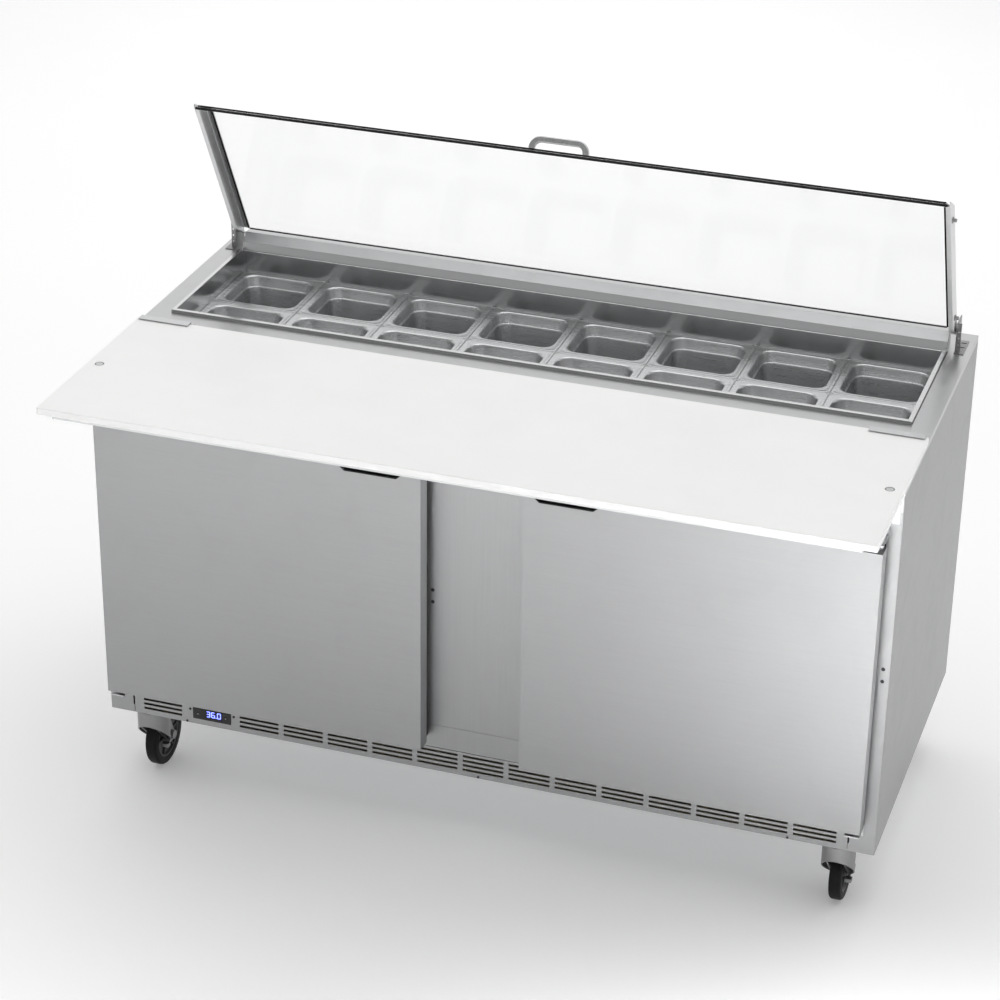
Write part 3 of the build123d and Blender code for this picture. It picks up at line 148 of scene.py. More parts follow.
def brushed_steel(name, colour, roughness, axis="X", streak=0.05, gloss_drift=0.05):
    """Stainless sheet: fine grain, broad streaks, soft clouds, and handling marks."""
    g = Graph(name)
    fine = g.noise(1.0, grain_stretch(axis, 9.0, 1400.0), detail=4.0)
    broad = g.noise(1.0, grain_stretch(axis, 1.6, 120.0), detail=3.0)
    clouds = g.noise(2.2, detail=2.0)
    smudges = g.noise(11.0, detail=6.0, roughness=0.62, distortion=0.8)
    grain = g.maths("ADD", g.span(fine, -0.5, 0.5), g.span(broad, -0.16, 0.16))
    shade = g.blend(g.span(grain, 0.0, 1.0, (-0.6, 0.6)), tone(colour, 1 - streak),
                    tone(colour, 1 + streak))
    shade = g.blend(g.span(clouds, 0.0, 0.35), shade, tone(colour, 0.93))
    rough = g.span(grain, roughness - gloss_drift, roughness + gloss_drift, (-0.6, 0.6))
    rough = g.maths("ADD", rough, g.span(smudges, 0.0, 0.05, (0.5, 0.72)))
    normal = g.bump(grain, 0.10, 0.00008)
    return g.surface({"Base Color": shade, "Metallic": 1.0, "Roughness": rough,
                      "Normal": normal})


def moulded_plastic(name, colour, roughness, speckle=0.12, bump=0.25, scale=900.0):
    """Moulded plastic with a fine texture and slight colour drift."""
    g = Graph(name)
    texture = g.noise(scale, detail=2.0)
    drift = g.noise(25.0, detail=3.0)
    shade = g.blend(g.span(drift, 0.0, 1.0), tone(colour, 1 - speckle), tone(colour, 1 + speckle))
    rough = g.span(texture, roughness - 0.05, roughness + 0.06)
    normal = g.bump(texture, bump, 0.00006)
    return g.surface({"Base Color": shade, "Roughness": rough, "Normal": normal,
                      "Specular IOR Level": 0.45})


def rubber(name, colour, roughness):
    """Rubber with a dusty bloom and a fine pebbled surface."""
    g = Graph(name)
    pebble = g.noise(700.0, detail=3.0)
    bloom = g.noise(18.0, detail=5.0, distortion=0.6)
    shade = g.blend(g.span(bloom, 0.0, 1.0, (0.35, 0.75)), colour, tone(colour, 1.7))
    rough = g.span(bloom, roughness - 0.06, roughness + 0.08)
    normal = g.bump(pebble, 0.3, 0.00010)
    return g.surface({"Base Color": shade, "Roughness": rough, "Normal": normal,
                      "Specular IOR Level": 0.14})


def board_plastic(name):
    """White polyethylene board: waxy, faintly mottled, with hairline knife marks."""
    g = Graph(name)
    mottle = g.noise(6.0, detail=4.0)
    pebble = g.noise(420.0, detail=2.0)
    marks = g.noise(1.0, (14.0, 620.0, 1.0), detail=3.0, distortion=0.15)
    cuts = g.span(marks, 0.0, 1.0, (0.66, 0.74))
    shade = g.blend(g.span(mottle, 0.0, 1.0), (0.895, 0.898, 0.89, 1), (0.93, 0.932, 0.925, 1))
    shade = g.blend(g.maths("MULTIPLY", cuts, 0.25), shade, (0.76, 0.76, 0.75, 1))
    rough = g.maths("ADD", g.span(mottle, 0.40, 0.50), g.maths("MULTIPLY", cuts, 0.1))
    height = g.maths("SUBTRACT", g.maths("MULTIPLY", pebble, 0.5), cuts)
    normal = g.bump(height, 0.18, 0.00012)
    return g.surface({"Base Color": shade, "Roughness": rough, "Normal": normal,
                      "Specular IOR Level": 0.42})


def clear_sheet(name):
    """Clear polycarbonate that lets lamp light through, with faint wiping marks."""
    g = Graph(name)
    wipes = g.noise(1.0, (3.0, 40.0, 40.0), detail=4.0, distortion=0.5)
    rough = g.span(wipes, 0.015, 0.06)
    normal = g.bump(g.noise(3.0, detail=1.0), 0.02, 0.0005)
    glass = g.add("BsdfPrincipled", {"Base Color": (0.94, 0.943, 0.943, 1), "Roughness": rough,
                                     "IOR": 1.28, "Transmission Weight": 1.0,
                                     "Normal": normal})
    passing = g.add("BsdfTransparent", {"Color": (0.93, 0.94, 0.94, 1)})
    lamp_ray = g.add("LightPath").outputs["Is Shadow Ray"]
    mixed = g.add("MixShader", {0: lamp_ray, 1: glass.outputs[0], 2: passing.outputs[0]})
    g.tree.links.new(mixed.outputs[0], g.output.inputs["Surface"])
    return g.material


def painted(name, colour, roughness):
    """Painted or coated metal with orange peel."""
    g = Graph(name)
    peel = g.noise(260.0, detail=2.0)
    drift = g.noise(9.0, detail=3.0)
    shade = g.blend(g.span(drift, 0.0, 1.0), tone(colour, 0.9), tone(colour, 1.08))
    normal = g.bump(peel, 0.2, 0.00010)
    return g.surface({"Base Color": shade, "Roughness": g.span(drift, roughness - 0.05,
                                                               roughness + 0.08),
                      "Normal": normal, "Coat Weight": 0.15})


def foam(name):
    """Cut polyurethane foam."""
    g = Graph(name)
    cells = g.add("TexVoronoi", {"Vector": g.place(), "Scale": 900.0}).outputs["Distance"]
    drift = g.noise(14.0, detail=4.0)
    shade = g.blend(g.span(drift, 0.0, 1.0), (0.66, 0.56, 0.33, 1), (0.78, 0.70, 0.46, 1))
    return g.surface({"Base Color": shade, "Roughness": g.span(drift, 0.82, 0.95),
                      "Normal": g.bump(cells, 0.5, 0.0003)})


def lit_segment(name, colour, strength):
    """Glowing display segment, its brightness drifting slightly at random."""
    g = Graph(name)
    glow = g.span(g.noise(300.0, detail=1.0), 0.85, 1.15)
    shade = g.blend(glow, tone(colour, 0.8), colour)
    return g.surface({"Base Color": shade, "Emission Color": shade,
                      "Emission Strength": strength, "Roughness": 0.4})


# The stainless parts below are one metal, but each gets its own base colour for how light falls on
# it: painted shade makes the doors, frame, kick grille and sides darkest, and painted highlight
# makes the well and lid channels lightest.
MATERIALS = {
    "door": brushed_steel("steel_door", (0.36, 0.363, 0.366), 0.42),
    "frame": brushed_steel("steel_frame", (0.36, 0.363, 0.366), 0.38, "Z"),
    "side": brushed_steel("steel_side", (0.36, 0.363, 0.366), 0.40, "Y"),
    "deck": brushed_steel("steel_deck", (0.50, 0.503, 0.506), 0.32),
    "well": brushed_steel("steel_well", (0.60, 0.603, 0.606), 0.20),
    "pan": brushed_steel("steel_pan", (0.59, 0.595, 0.60), 0.28, "X", 0.03),
    "bright": brushed_steel("steel_bright", (0.55, 0.555, 0.56), 0.30, "Z"),
    # painted highlight: the lid channels' steel is much lighter than the rest of the stainless
    "channel": brushed_steel("steel_channel", (0.80, 0.803, 0.806), 0.50, "Y"),
    "rail": brushed_steel("steel_rail", (0.52, 0.525, 0.53), 0.33),
    "zinc": brushed_steel("zinc_plate", (0.31, 0.31, 0.313), 0.45, "Z", 0.08, 0.08),
    "aluminium": brushed_steel("aluminium", (0.62, 0.63, 0.64), 0.42, "X", 0.04),
    "black": moulded_plastic("black_plastic", (0.018, 0.018, 0.019), 0.38),
    "window": moulded_plastic("display_window", (0.008, 0.008, 0.010), 0.12, 0.05, 0.03),
    "cap": moulded_plastic("button_cap", (0.035, 0.035, 0.038), 0.42),
    "mark": moulded_plastic("button_mark", (0.42, 0.43, 0.45), 0.5, 0.05, 0.1),
    "gasket": rubber("gasket_rubber", (0.008, 0.008, 0.0085, 1), 0.55),
    "tyre": rubber("tyre_rubber", (0.006, 0.006, 0.0064, 1), 0.50),
    "core": moulded_plastic("wheel_core", (0.045, 0.045, 0.047), 0.42),
    "board": board_plastic("board_polyethylene"),
    "clear": clear_sheet("clear_polycarbonate"),
    "wire": painted("coated_wire", (0.80, 0.80, 0.79), 0.35),
    "liner": moulded_plastic("door_liner", (0.78, 0.78, 0.77), 0.38, 0.02, 0.2, 420.0),
    "compressor": painted("compressor_paint", (0.02, 0.02, 0.021), 0.35),
    "foam": foam("insulation_foam"),
    "digit": lit_segment("digit_glow", (0.16, 0.20, 1.0, 1), 4.0),
}


def paint(obj, key):
    """Give a piece one of the finishes."""
    obj.data.materials.clear()
    obj.data.materials.append(MATERIALS[key])
    return obj


def repaint(node, key):
    """Give a CAD node one of the finishes."""
    for slot in frame["nodes"][node].material_slots:
        slot.material = MATERIALS[key]


# ---------------------------------------------------------------- mesh helpers
def place_mesh(name, vertices, faces, smooth_angle=35.0):
    """New object from plain lists, shaded smooth except across sharp edges."""
    mesh = bpy.data.meshes.new(name)
    mesh.from_pydata([tuple(v) for v in vertices], [], faces)
    mesh.validate()
    finish_mesh(mesh, smooth_angle)
    obj = bpy.data.objects.new(name, mesh)
    bpy.context.scene.collection.objects.link(obj)
    return obj


def finish_mesh(mesh, smooth_angle):
    """Outward normals, and smooth shading below the angle; an angle of 0 leaves faces flat."""
    work = bmesh.new()
    work.from_mesh(mesh)
    bmesh.ops.recalc_face_normals(work, faces=work.faces)
    work.to_mesh(mesh)
    work.free()
    for polygon in mesh.polygons:
        polygon.use_smooth = smooth_angle > 0
    if smooth_angle > 0:
        mesh.set_sharp_from_angle(angle=math.radians(smooth_angle))


def soften(obj, width, segments=2, angle=35.0):
    """Round a piece's sharp edges."""
    bevel = obj.modifiers.new("soft_edges", "BEVEL")
    bevel.width = width
    bevel.segments = segments
    bevel.limit_method = "ANGLE"
    bevel.angle_limit = math.radians(angle)
    bevel.use_clamp_overlap = True
    return obj


def dressed(node, key, width=0.0005, segments=2, smooth_angle=35.0):
    """Copy of a CAD node with clean faces, soft edges and a finish, standing in for it."""
    work = bmesh.new()
    work.from_mesh(frame["nodes"][node].data)
    bmesh.ops.remove_doubles(work, verts=work.verts, dist=0.000002)
    bmesh.ops.dissolve_limit(work, angle_limit=math.radians(0.6), verts=work.verts,
                             edges=work.edges)
    mesh = bpy.data.meshes.new(node + "_finished")
    work.to_mesh(mesh)
    work.free()
    finish_mesh(mesh, smooth_angle)
    obj = bpy.data.objects.new(node + "_finished", mesh)
    bpy.context.scene.collection.objects.link(obj)
    paint(obj, key)
    if width > 0:
        soften(obj, width, segments)
    stand_for(obj, node)
    return obj


def body_of_node(node):
    """Body that a CAD node rides on."""
    return frame["nodes"][node]["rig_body"]


def stand_for(obj, node):
    """Piece rides on the node's body and replaces it."""
    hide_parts(node)
    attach(obj, body_of_node(node))


def add_detail(obj, body, key):
    """Extra piece with a finish, riding on a body."""
    paint(obj, key)
    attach(obj, body)
    return obj


def winding(points, triangles):
    """How many times the closed surface goes round each point."""
    total = np.zeros(len(points))
    for triangle in triangles:
        a, b, c = (corner - points for corner in triangle)
        la, lb, lc = (np.linalg.norm(v, axis=1) for v in (a, b, c))
        volume = np.einsum("ij,ij->i", a, np.cross(b, c))
        spread = (la * lb * lc + np.einsum("ij,ij->i", a, b) * lc
                  + np.einsum("ij,ij->i", b, c) * la + np.einsum("ij,ij->i", c, a) * lb)
        total += 2 * np.arctan2(volume, spread)
    return total / (4 * math.pi)


def node_triangles(node):
    """Corner places of a CAD node's triangles, as an array."""
    mesh = frame["nodes"][node].data
    mesh.calc_loop_triangles()
    places = np.array([vertex.co for vertex in mesh.vertices])
    return places[np.array([t.vertices for t in mesh.loop_triangles])]


def distinct(values, gap=0.00001):
    """Sorted values with near copies dropped."""
    kept = []
    for value in sorted(values):
        if not kept or value - kept[-1] > gap:
            kept.append(float(value))
    return kept


def sheet_mesh(name, node):
    """A node of box-shaped solids as one closed mesh, with no faces where the solids meet."""
    triangles = node_triangles(node)
    stops = [distinct(triangles[:, :, axis].ravel()) for axis in range(3)]
    middles = [[(a + b) / 2 for a, b in zip(line, line[1:])] for line in stops]
    cells = [(i, j, k) for i in range(len(middles[0])) for j in range(len(middles[1]))
             for k in range(len(middles[2]))]
    points = np.array([[middles[axis][cell[axis]] for axis in range(3)] for cell in cells])
    full = winding(points, triangles) > 0.5
    filled = {cell for cell, inside in zip(cells, full) if inside}
    index, vertices, faces = {}, [], []
    square = ((0, 0), (1, 0), (1, 1), (0, 1))
    for cell in sorted(filled):
        for axis in range(3):
            for step in (0, 1):
                beside = list(cell)
                beside[axis] += 1 if step else -1
                if tuple(beside) in filled:
                    continue
                ring = []
                for a, b in square:
                    place = list(cell)
                    place[axis] += step
                    place[(axis + 1) % 3] += a
                    place[(axis + 2) % 3] += b
                    place = tuple(place)
                    if place not in index:
                        index[place] = len(vertices)
                        vertices.append([stops[i][place[i]] for i in range(3)])
                    ring.append(index[place])
                faces.append(ring)
    mesh = bpy.data.meshes.new(name)
    mesh.from_pydata(vertices, [], faces)
    work = bmesh.new()
    work.from_mesh(mesh)
    bmesh.ops.recalc_face_normals(work, faces=work.faces)
    bmesh.ops.dissolve_limit(work, angle_limit=math.radians(0.6), verts=work.verts,
                             edges=work.edges)
    work.to_mesh(mesh)
    work.free()
    return mesh


def sheet_piece(node, key, width):
    """The flat solids of a CAD node as one folded sheet with soft folds."""
    obj = bpy.data.objects.new(node + "_sheet", sheet_mesh(node + "_sheet", node))
    bpy.context.scene.collection.objects.link(obj)
    paint(obj, key)
    soften(obj, width)
    stand_for(obj, node)
    return obj


def rounded_rectangle(half_x, half_y, radius, steps):
    """Points round a rectangle with round corners."""
    points = []
    for quarter, (sx, sy) in enumerate(((1, 1), (-1, 1), (-1, -1), (1, -1))):
        for step in range(steps + 1):
            angle = math.radians(90 * quarter + 90 * step / steps)
            points.append((sx * (half_x - radius) + radius * math.cos(angle),
                           sy * (half_y - radius) + radius * math.sin(angle)))
    return points


def skin_rings(rings):
    """Vertices and faces that join equal rings of points in order, and the last to the first."""
    vertices = [point for ring in rings for point in ring]
    count = len(rings[0])
    faces = []
    for a in range(len(rings)):
        b = (a + 1) % len(rings)
        for i in range(count):
            j = (i + 1) % count
            faces.append((a * count + i, a * count + j, b * count + j, b * count + i))
    return vertices, faces


def turned(name, profile, centre, axis, segments):
    """Closed solid of revolution; profile is (along, radius) round a closed outline."""
    rings = []
    for along, radius in profile:
        ring = []
        for k in range(segments):
            angle = 2 * math.pi * k / segments
            u = radius * math.cos(angle)
            v = radius * math.sin(angle)
            offset = {"X": (along, u, v), "Y": (u, along, v), "Z": (u, v, along)}[axis]
            ring.append(tuple(centre[i] + offset[i] for i in range(3)))
        rings.append(ring)
    vertices, faces = skin_rings(rings)
    return place_mesh(name, vertices, faces, 32.0)


def arc(centre, radius, start, end, steps):
    """(a, b) points on an arc, angles in degrees."""
    points = []
    for k in range(steps + 1):
        angle = math.radians(start + (end - start) * k / steps)
        points.append((centre[0] + radius * math.cos(angle),
                       centre[1] + radius * math.sin(angle)))
    return points


def block(name, low, high, width, segments=2):
    """Soft-edged block between two corners."""
    (x0, y0, z0), (x1, y1, z1) = low, high
    vertices = [(x, y, z) for x in (x0, x1) for y in (y0, y1) for z in (z0, z1)]
    faces = [(0, 1, 3, 2), (4, 6, 7, 5), (0, 4, 5, 1), (2, 3, 7, 6), (0, 2, 6, 4), (1, 5, 7, 3)]
    return soften(place_mesh(name, vertices, faces), width, segments)


def screw_head(name, centre, axis, toward, radius, height, key, body):
    """Domed screw head with a socket recess, standing on a face."""
    dome = [(0.0, NEAR_AXIS), (0.0, radius), (toward * height * 0.55, radius * 0.96),
            (toward * height * 0.9, radius * 0.72), (toward * height, radius * 0.48),
            (toward * height * 0.45, radius * 0.42), (toward * height * 0.45, NEAR_AXIS)]
    return add_detail(turned(name, dome, centre, axis, SEGMENTS_SCREW), body, key)


# ---------------------------------------------------------------- cabinet
def make_cabinet():
    """Outer sheets: deck, front frame, well, sides, back and grille."""
    sheet_piece("top_deck", "deck", 0.0006)
    repaint("front_frame", "frame")
    sheet_piece("food_well", "well", 0.0007)
    dressed("side_panels", "side", 0.0004, 2, 0)
    repaint("back_panel", "side")
    repaint("kick_grille", "frame")
    dressed("adapter_bars", "pan", 0.0002)
    dressed("board_supports", "rail", 0.0003)
    dressed("board_clips", "bright", 0.0003)
    dressed("lid_hinge_brackets", "zinc", 0.0003)
    dressed("door_hinges", "bright", 0.0004)
    dressed("caster_mounts", "zinc", 0.0004)
    dressed("frame_plugs", "black", 0.0003)
    repaint("base_pan", "aluminium")
    repaint("foam_insulation", "foam")
    repaint("cabinet_liner", "aluminium")
    repaint("wire_shelves", "wire")
    repaint("shelf_rails", "rail")
    dressed("evaporator_coil", "aluminium", 0.0003)
    dressed("condenser_coil", "aluminium", 0.0003)
    dressed("compressor", "compressor", 0.0010, 3)
    dressed("cord_inlet", "black", 0.0005)
    dressed("evaporator_fan", "black", 0.0003)
    dressed("condenser_fan", "black", 0.0003)


RISER_FOLD_BACK = 5.5 * MM
RISER_FOLD_HEIGHT = 15.5 * MM
RISER_SHOULDER_BACK = 20.6 * MM
RISER_BEND_ANGLE = 8.0


def make_riser():
    """Fixed riser behind the well: a steep lower band, a sloping upper one and a flat top."""
    low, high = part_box("lid_riser")
    fold_y, fold_z = low.y + RISER_FOLD_BACK, low.z + RISER_FOLD_HEIGHT
    shoulder_y = low.y + RISER_SHOULDER_BACK
    outline = [(low.y, low.z), (fold_y, fold_z), (shoulder_y, high.z), (high.y, high.z),
               (high.y, low.z)]
    count = len(outline)
    vertices = [(x, y, z) for x in (low.x, high.x) for y, z in outline]
    faces = [tuple(range(count)), tuple(range(count, 2 * count))]
    for i in range(count):
        j = (i + 1) % count
        faces.append((i, j, count + j, count + i))
    riser = place_mesh("lid_riser_folded", vertices, faces, 0)
    paint(riser, "rail")
    soften(riser, 0.0006, 2, RISER_BEND_ANGLE)
    stand_for(riser, "lid_riser")


# the strips' place in each door opening: distances from the middle, the frame's face and the sill
STRIP_INNER_EDGE = 120.2 * MM
STRIP_OUTER_EDGE = 717.8 * MM
STRIP_BACK = 30.1 * MM
STRIP_THICKNESS = 1.0 * MM
STRIP_GAP = 0.1 * MM
STRIP_TOP = 6.4 * MM
SILL_HEIGHT = 92.0 * MM


def make_breaker_strips():
    """Sheet strips that close the foam's edge under each door opening."""
    frame_low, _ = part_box("front_frame")
    front = frame_low.y + STRIP_BACK
    sill_z = CABINET_Z + SILL_HEIGHT
    for side, name in ((-1, "left"), (1, "right")):
        edges = sorted((side * STRIP_INNER_EDGE, side * STRIP_OUTER_EDGE))
        strip = block(f"breaker_strip_{name}", (edges[0], front, sill_z + STRIP_GAP),
                      (edges[1], front + STRIP_THICKNESS, sill_z + STRIP_TOP), 0.0002, 1)
        add_detail(strip, "cabinet", "aluminium")


SCREW_RADIUS = 4 * MM
BACK_SCREW_X = 745
BACK_SCREW_LOWEST = 400
BACK_SCREW_PITCH = 110
BACK_SCREW_HEIGHT = 1 * MM
COVER_SCREW_FIRST_X = -720
COVER_SCREW_PITCH = 240
COVER_SCREW_Z = 358 * MM
COVER_SCREW_HEIGHT = 2.2 * MM
COVER_RECESS = 10 * MM


def make_back_fixings():
    """Screws along the edges of the rear covers."""
    _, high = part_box("back_panel")
    for side in SIDES:
        for k in range(5):
            centre = (side * BACK_SCREW_X * MM, high.y - BACK_SCREW_HEIGHT,
                      (BACK_SCREW_LOWEST + BACK_SCREW_PITCH * k) * MM)
            screw_head(f"back_screw_{'lr'[side > 0]}_{k}", centre, "Y", 1, SCREW_RADIUS,
                       BACK_SCREW_HEIGHT, "bright", "cabinet")
    for k in range(7):
        centre = ((COVER_SCREW_FIRST_X + COVER_SCREW_PITCH * k) * MM, high.y - COVER_RECESS,
                  COVER_SCREW_Z)
        screw_head(f"cover_screw_{k}", centre, "Y", 1, SCREW_RADIUS, COVER_SCREW_HEIGHT,
                   "bright", "cabinet")


# ---------------------------------------------------------------- thermostat
SEGMENTS_ON = {"3": "abcdg", "6": "acdefg", "0": "abcdef"}
DIGIT_WIDTH = 8.0 * MM
DIGIT_HEIGHT = 13.0 * MM
DIGIT_GAP = 1.9 * MM
STROKE = 1.7 * MM
POINT_SIZE = 1.8 * MM
POINT_LEAD = 0.4 * MM
POINT_ADVANCE = 2.6 * MM
WINDOW_SIDE_MARGIN = 18 * MM
WINDOW_END_MARGIN = 2 * MM
WINDOW_STAND_OUT = 0.25 * MM
READING_LEFT = 29 * MM
READING_DROP = 2.6 * MM
MARK_RADIUS = 1.1 * MM
MARK_HEIGHT = 0.12 * MM
DISPLAY_SCREW_OUT = 5.8 * MM
DISPLAY_SCREW_DROP = 5 * MM


def digit_segments(digit):
    """(x0, x1, z0, z1) of each lit bar, from the digit's lower left corner."""
    w, h, s = DIGIT_WIDTH, DIGIT_HEIGHT, STROKE
    mid = (h - s) / 2
    bars = {
        "a": (s * 0.6, w - s * 0.6, h - s, h), "d": (s * 0.6, w - s * 0.6, 0, s),
        "g": (s * 0.6, w - s * 0.6, mid, mid + s), "b": (w - s, w, h / 2 + s * 0.2, h - s * 0.6),
        "c": (w - s, w, s * 0.6, h / 2 - s * 0.2), "e": (0, s, s * 0.6, h / 2 - s * 0.2),
        "f": (0, s, h / 2 + s * 0.2, h - s * 0.6),
    }
    return [bars[name] for name in SEGMENTS_ON[digit]]


def make_thermostat():
    """Dark window with a lit reading, button marks and two screws."""
    low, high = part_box("thermostat")
    face = low.y
    dressed("thermostat", "black", 0.0005)
    window_low = (low.x + WINDOW_SIDE_MARGIN, face - WINDOW_STAND_OUT,
                  low.z + WINDOW_END_MARGIN)
    window_high = (high.x - WINDOW_SIDE_MARGIN, face + 0.2 * MM, high.z - WINDOW_END_MARGIN)
    window = block("display_window", window_low, window_high, 0.0002)
    add_detail(window, "cabinet", "window")
    bars = []
    x = low.x + READING_LEFT
    z = high.z - READING_DROP - DIGIT_HEIGHT
    for digit in "360":
        if digit == "0":
            left = x - POINT_LEAD
            bars.append((left, left + POINT_SIZE, z, z + POINT_SIZE))
            x += POINT_ADVANCE
        for x0, x1, z0, z1 in digit_segments(digit):
            bars.append((x + x0, x + x1, z + z0, z + z1))
        x += DIGIT_WIDTH + DIGIT_GAP
    for k, (x0, x1, z0, z1) in enumerate(bars):
        bar = block(f"display_bar_{k}", (x0, face - 0.45 * MM, z0), (x1, face - 0.1 * MM, z1),
                    0.0001, 1)
        add_detail(bar, "cabinet", "digit")
    for side, name in ((-1, "left"), (1, "right")):
        node = f"thermostat_button_{name}"
        dressed(node, "cap", 0.0005)
        b_low, b_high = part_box(node)
        middle = (b_low + b_high) / 2
        outline = [(0, NEAR_AXIS), (0, MARK_RADIUS), (-MARK_HEIGHT, MARK_RADIUS - 0.1 * MM),
                   (-MARK_HEIGHT, NEAR_AXIS)]
        dot = turned(f"button_mark_{name}", outline,
                     (middle.x, b_low.y + 0.01 * MM, middle.z), "Y", SEGMENTS_MARK)
        add_detail(dot, f"button_{name}", "mark")
        x = (low.x if side < 0 else high.x) + side * DISPLAY_SCREW_OUT
        screw_head(f"display_screw_{name}", (x, face + 1.5 * MM, high.z - DISPLAY_SCREW_DROP),
                   "Y", -1, 2.6 * MM, 1.2 * MM, "black", "cabinet")


# ---------------------------------------------------------------- doors
def make_doors():
    """Each door's steel skin, pale inner panel, gasket and black grip."""
    for name in ("left", "right"):
        dressed(f"door_{name}_skin", "door", 0.0011, 3, 0)
        dressed(f"door_{name}_core", "liner", 0.0004)
        dressed(f"door_{name}_gasket", "gasket", 0.0010, 2)
        dressed(f"door_{name}_grip", "black", 0.0004)


# ---------------------------------------------------------------- cutting board
def make_board():
    """White board with rounded edges."""
    dressed("cutting_board", "board", 0.0012, 3)


# ---------------------------------------------------------------- pans
PAN_LENGTH = 161.5 * MM
# (inset from the rim's edge in x and y, corner radius, depth below the rim), in millimetres
PAN_INSIDE = [(0.0, 9.0, 1.0), (0.0, 9.0, 0.45), (0.5, 8.6, 0.1), (3.2, 9.5, 0.0),
              (4.2, 10.0, 0.55), (9.0, 18.0, 0.55), (10.3, 22.0, 0.3), (11.6, 25.0, 0.75),
              (12.9, 27.0, 2.3), (13.6, 27.0, 5.0), (15.4, 26.5, 20.6), (15.9, 26.2, 21.7),
              (17.2, 25.2, 22.0), (18.0, 24.8, 22.8), (18.4, 24.6, 24.5), (25.2, 21.5, 86.0),
              (26.6, 20.5, 92.0), (29.2, 18.5, 96.5), (33.5, 16.0, 99.2), (40.0, 12.0, 99.9)]
PAN_METAL = 0.8
PAN_HALF_WIDTH = 88.0
PAN_CORNER_STEPS = 7
# the floor's innermost ring: how far inside the last one above, and its corner radius
PAN_CENTRE_INSET = 25.0
PAN_CENTRE_RADIUS = 4.0
# the first of the rings that the outer surface follows, and its last ring, under the rim
PAN_OUTER_START = 9
PAN_UNDER_RIM = (11.0, 24.0, 1.0)


def pan_rings(middle, top):
    """Inner surface from rim to floor, then the outer surface back up."""
    half_x = PAN_HALF_WIDTH
    half_y = PAN_LENGTH / MM / 2
    rings = []

    def ring(inset, radius, depth):
        """Add one ring, in millimetres."""
        outline = rounded_rectangle(half_x - inset, half_y - inset, radius, PAN_CORNER_STEPS)
        rings.append([(middle[0] + px * MM, middle[1] + py * MM, top - depth * MM)
                      for px, py in outline])

    for inset, radius, depth in PAN_INSIDE:
        ring(inset, radius, depth)
    floor_inset, _, floor_depth = PAN_INSIDE[-1]
    ring(floor_inset + PAN_CENTRE_INSET, PAN_CENTRE_RADIUS, floor_depth)
    ring(floor_inset + PAN_CENTRE_INSET, PAN_CENTRE_RADIUS, floor_depth + PAN_METAL)
    for inset, radius, depth in reversed(PAN_INSIDE[PAN_OUTER_START:]):
        ring(inset - PAN_METAL, radius + PAN_METAL, depth + PAN_METAL * 0.7)
    ring(*PAN_UNDER_RIM)
    return rings


def make_pans():
    """Two pressed pans in each column, with rolled rims, steps and closed floors."""
    for column in range(1, 9):
        node = f"food_pans_column_{column}"
        low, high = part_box(node)
        vertices, faces = [], []
        for y in (low.y + PAN_LENGTH / 2, high.y - PAN_LENGTH / 2):
            rings = pan_rings(((low.x + high.x) / 2, y), high.z)
            more, quads = skin_rings(rings)
            count = len(rings[0])
            # the wall between the two floor rings goes, and each of them is filled instead
            upper = len(PAN_INSIDE) * count
            lower = upper + count
            quads = [q for q in quads if not (upper <= q[0] < lower and q[2] >= lower)]
            quads.append(tuple(upper + i for i in range(count)))
            quads.append(tuple(lower + i for i in range(count)))
            start = len(vertices)
            vertices.extend(more)
            faces.extend(tuple(start + i for i in q) for q in quads)
        pan = place_mesh(f"food_pans_{column}", vertices, faces, 50.0)
        paint(pan, "pan")
        stand_for(pan, node)


# ---------------------------------------------------------------- lid
def make_lid():
    """Clear pane, side channels, gasket, handle and hinge hardware."""
    dressed("lid_pane", "clear", 0.0008, 3, 0)
    dressed("lid_side_channels", "channel", 0.0003, 2, 0)
    dressed("lid_gasket", "gasket", 0.0006)
    dressed("lid_handle", "bright", 0.0032, 4)
    dressed("lid_hardware", "zinc", 0.0004)


# ---------------------------------------------------------------- casters
WHEEL_RADIUS = 63.5 * MM
TYRE_HALF_WIDTH = 12 * MM
TYRE_SEAT = 47 * MM


def wheel_profile():
    """Tyre section: (along the axle, radius) in metres, round a closed outline."""
    half, outer, seat = TYRE_HALF_WIDTH, WHEEL_RADIUS, TYRE_SEAT
    crown = [(x * half, outer - (x * x) * 0.35 * MM) for x in (-0.55, -0.2, 0.2, 0.55)]
    shoulder = 5.0 * MM
    right = arc((half - shoulder, outer - shoulder - 0.2 * MM), shoulder, 80, 0, 6)
    left = [(-a, r) for a, r in reversed(right)]
    side_right = [(half - 0.4 * MM, 56 * MM), (half, 55 * MM), (half, seat + 1.5 * MM),
                  (half - 1.5 * MM, seat)]
    side_left = [(-a, r) for a, r in reversed(side_right)]
    return left + crown + right + side_right + side_left


def core_profile():
    """Hub, web and rim of the wheel core."""
    right = [(11 * MM, TYRE_SEAT), (11 * MM, 43.5 * MM), (6.5 * MM, 42 * MM), (5 * MM, 20 * MM),
             (10 * MM, 17.5 * MM), (13.9 * MM, 15.5 * MM), (13.9 * MM, 11 * MM),
             (12.5 * MM, 10.5 * MM), (12.5 * MM, 5.1 * MM)]
    left = [(-a, r) for a, r in reversed(right)]
    return right + left


RIB_COUNT = 6
RIB_ALONG = (5 * MM, 9.5 * MM)
RIB_RADII = (17 * MM, 43 * MM)
RIB_HALF = 1.3 * MM


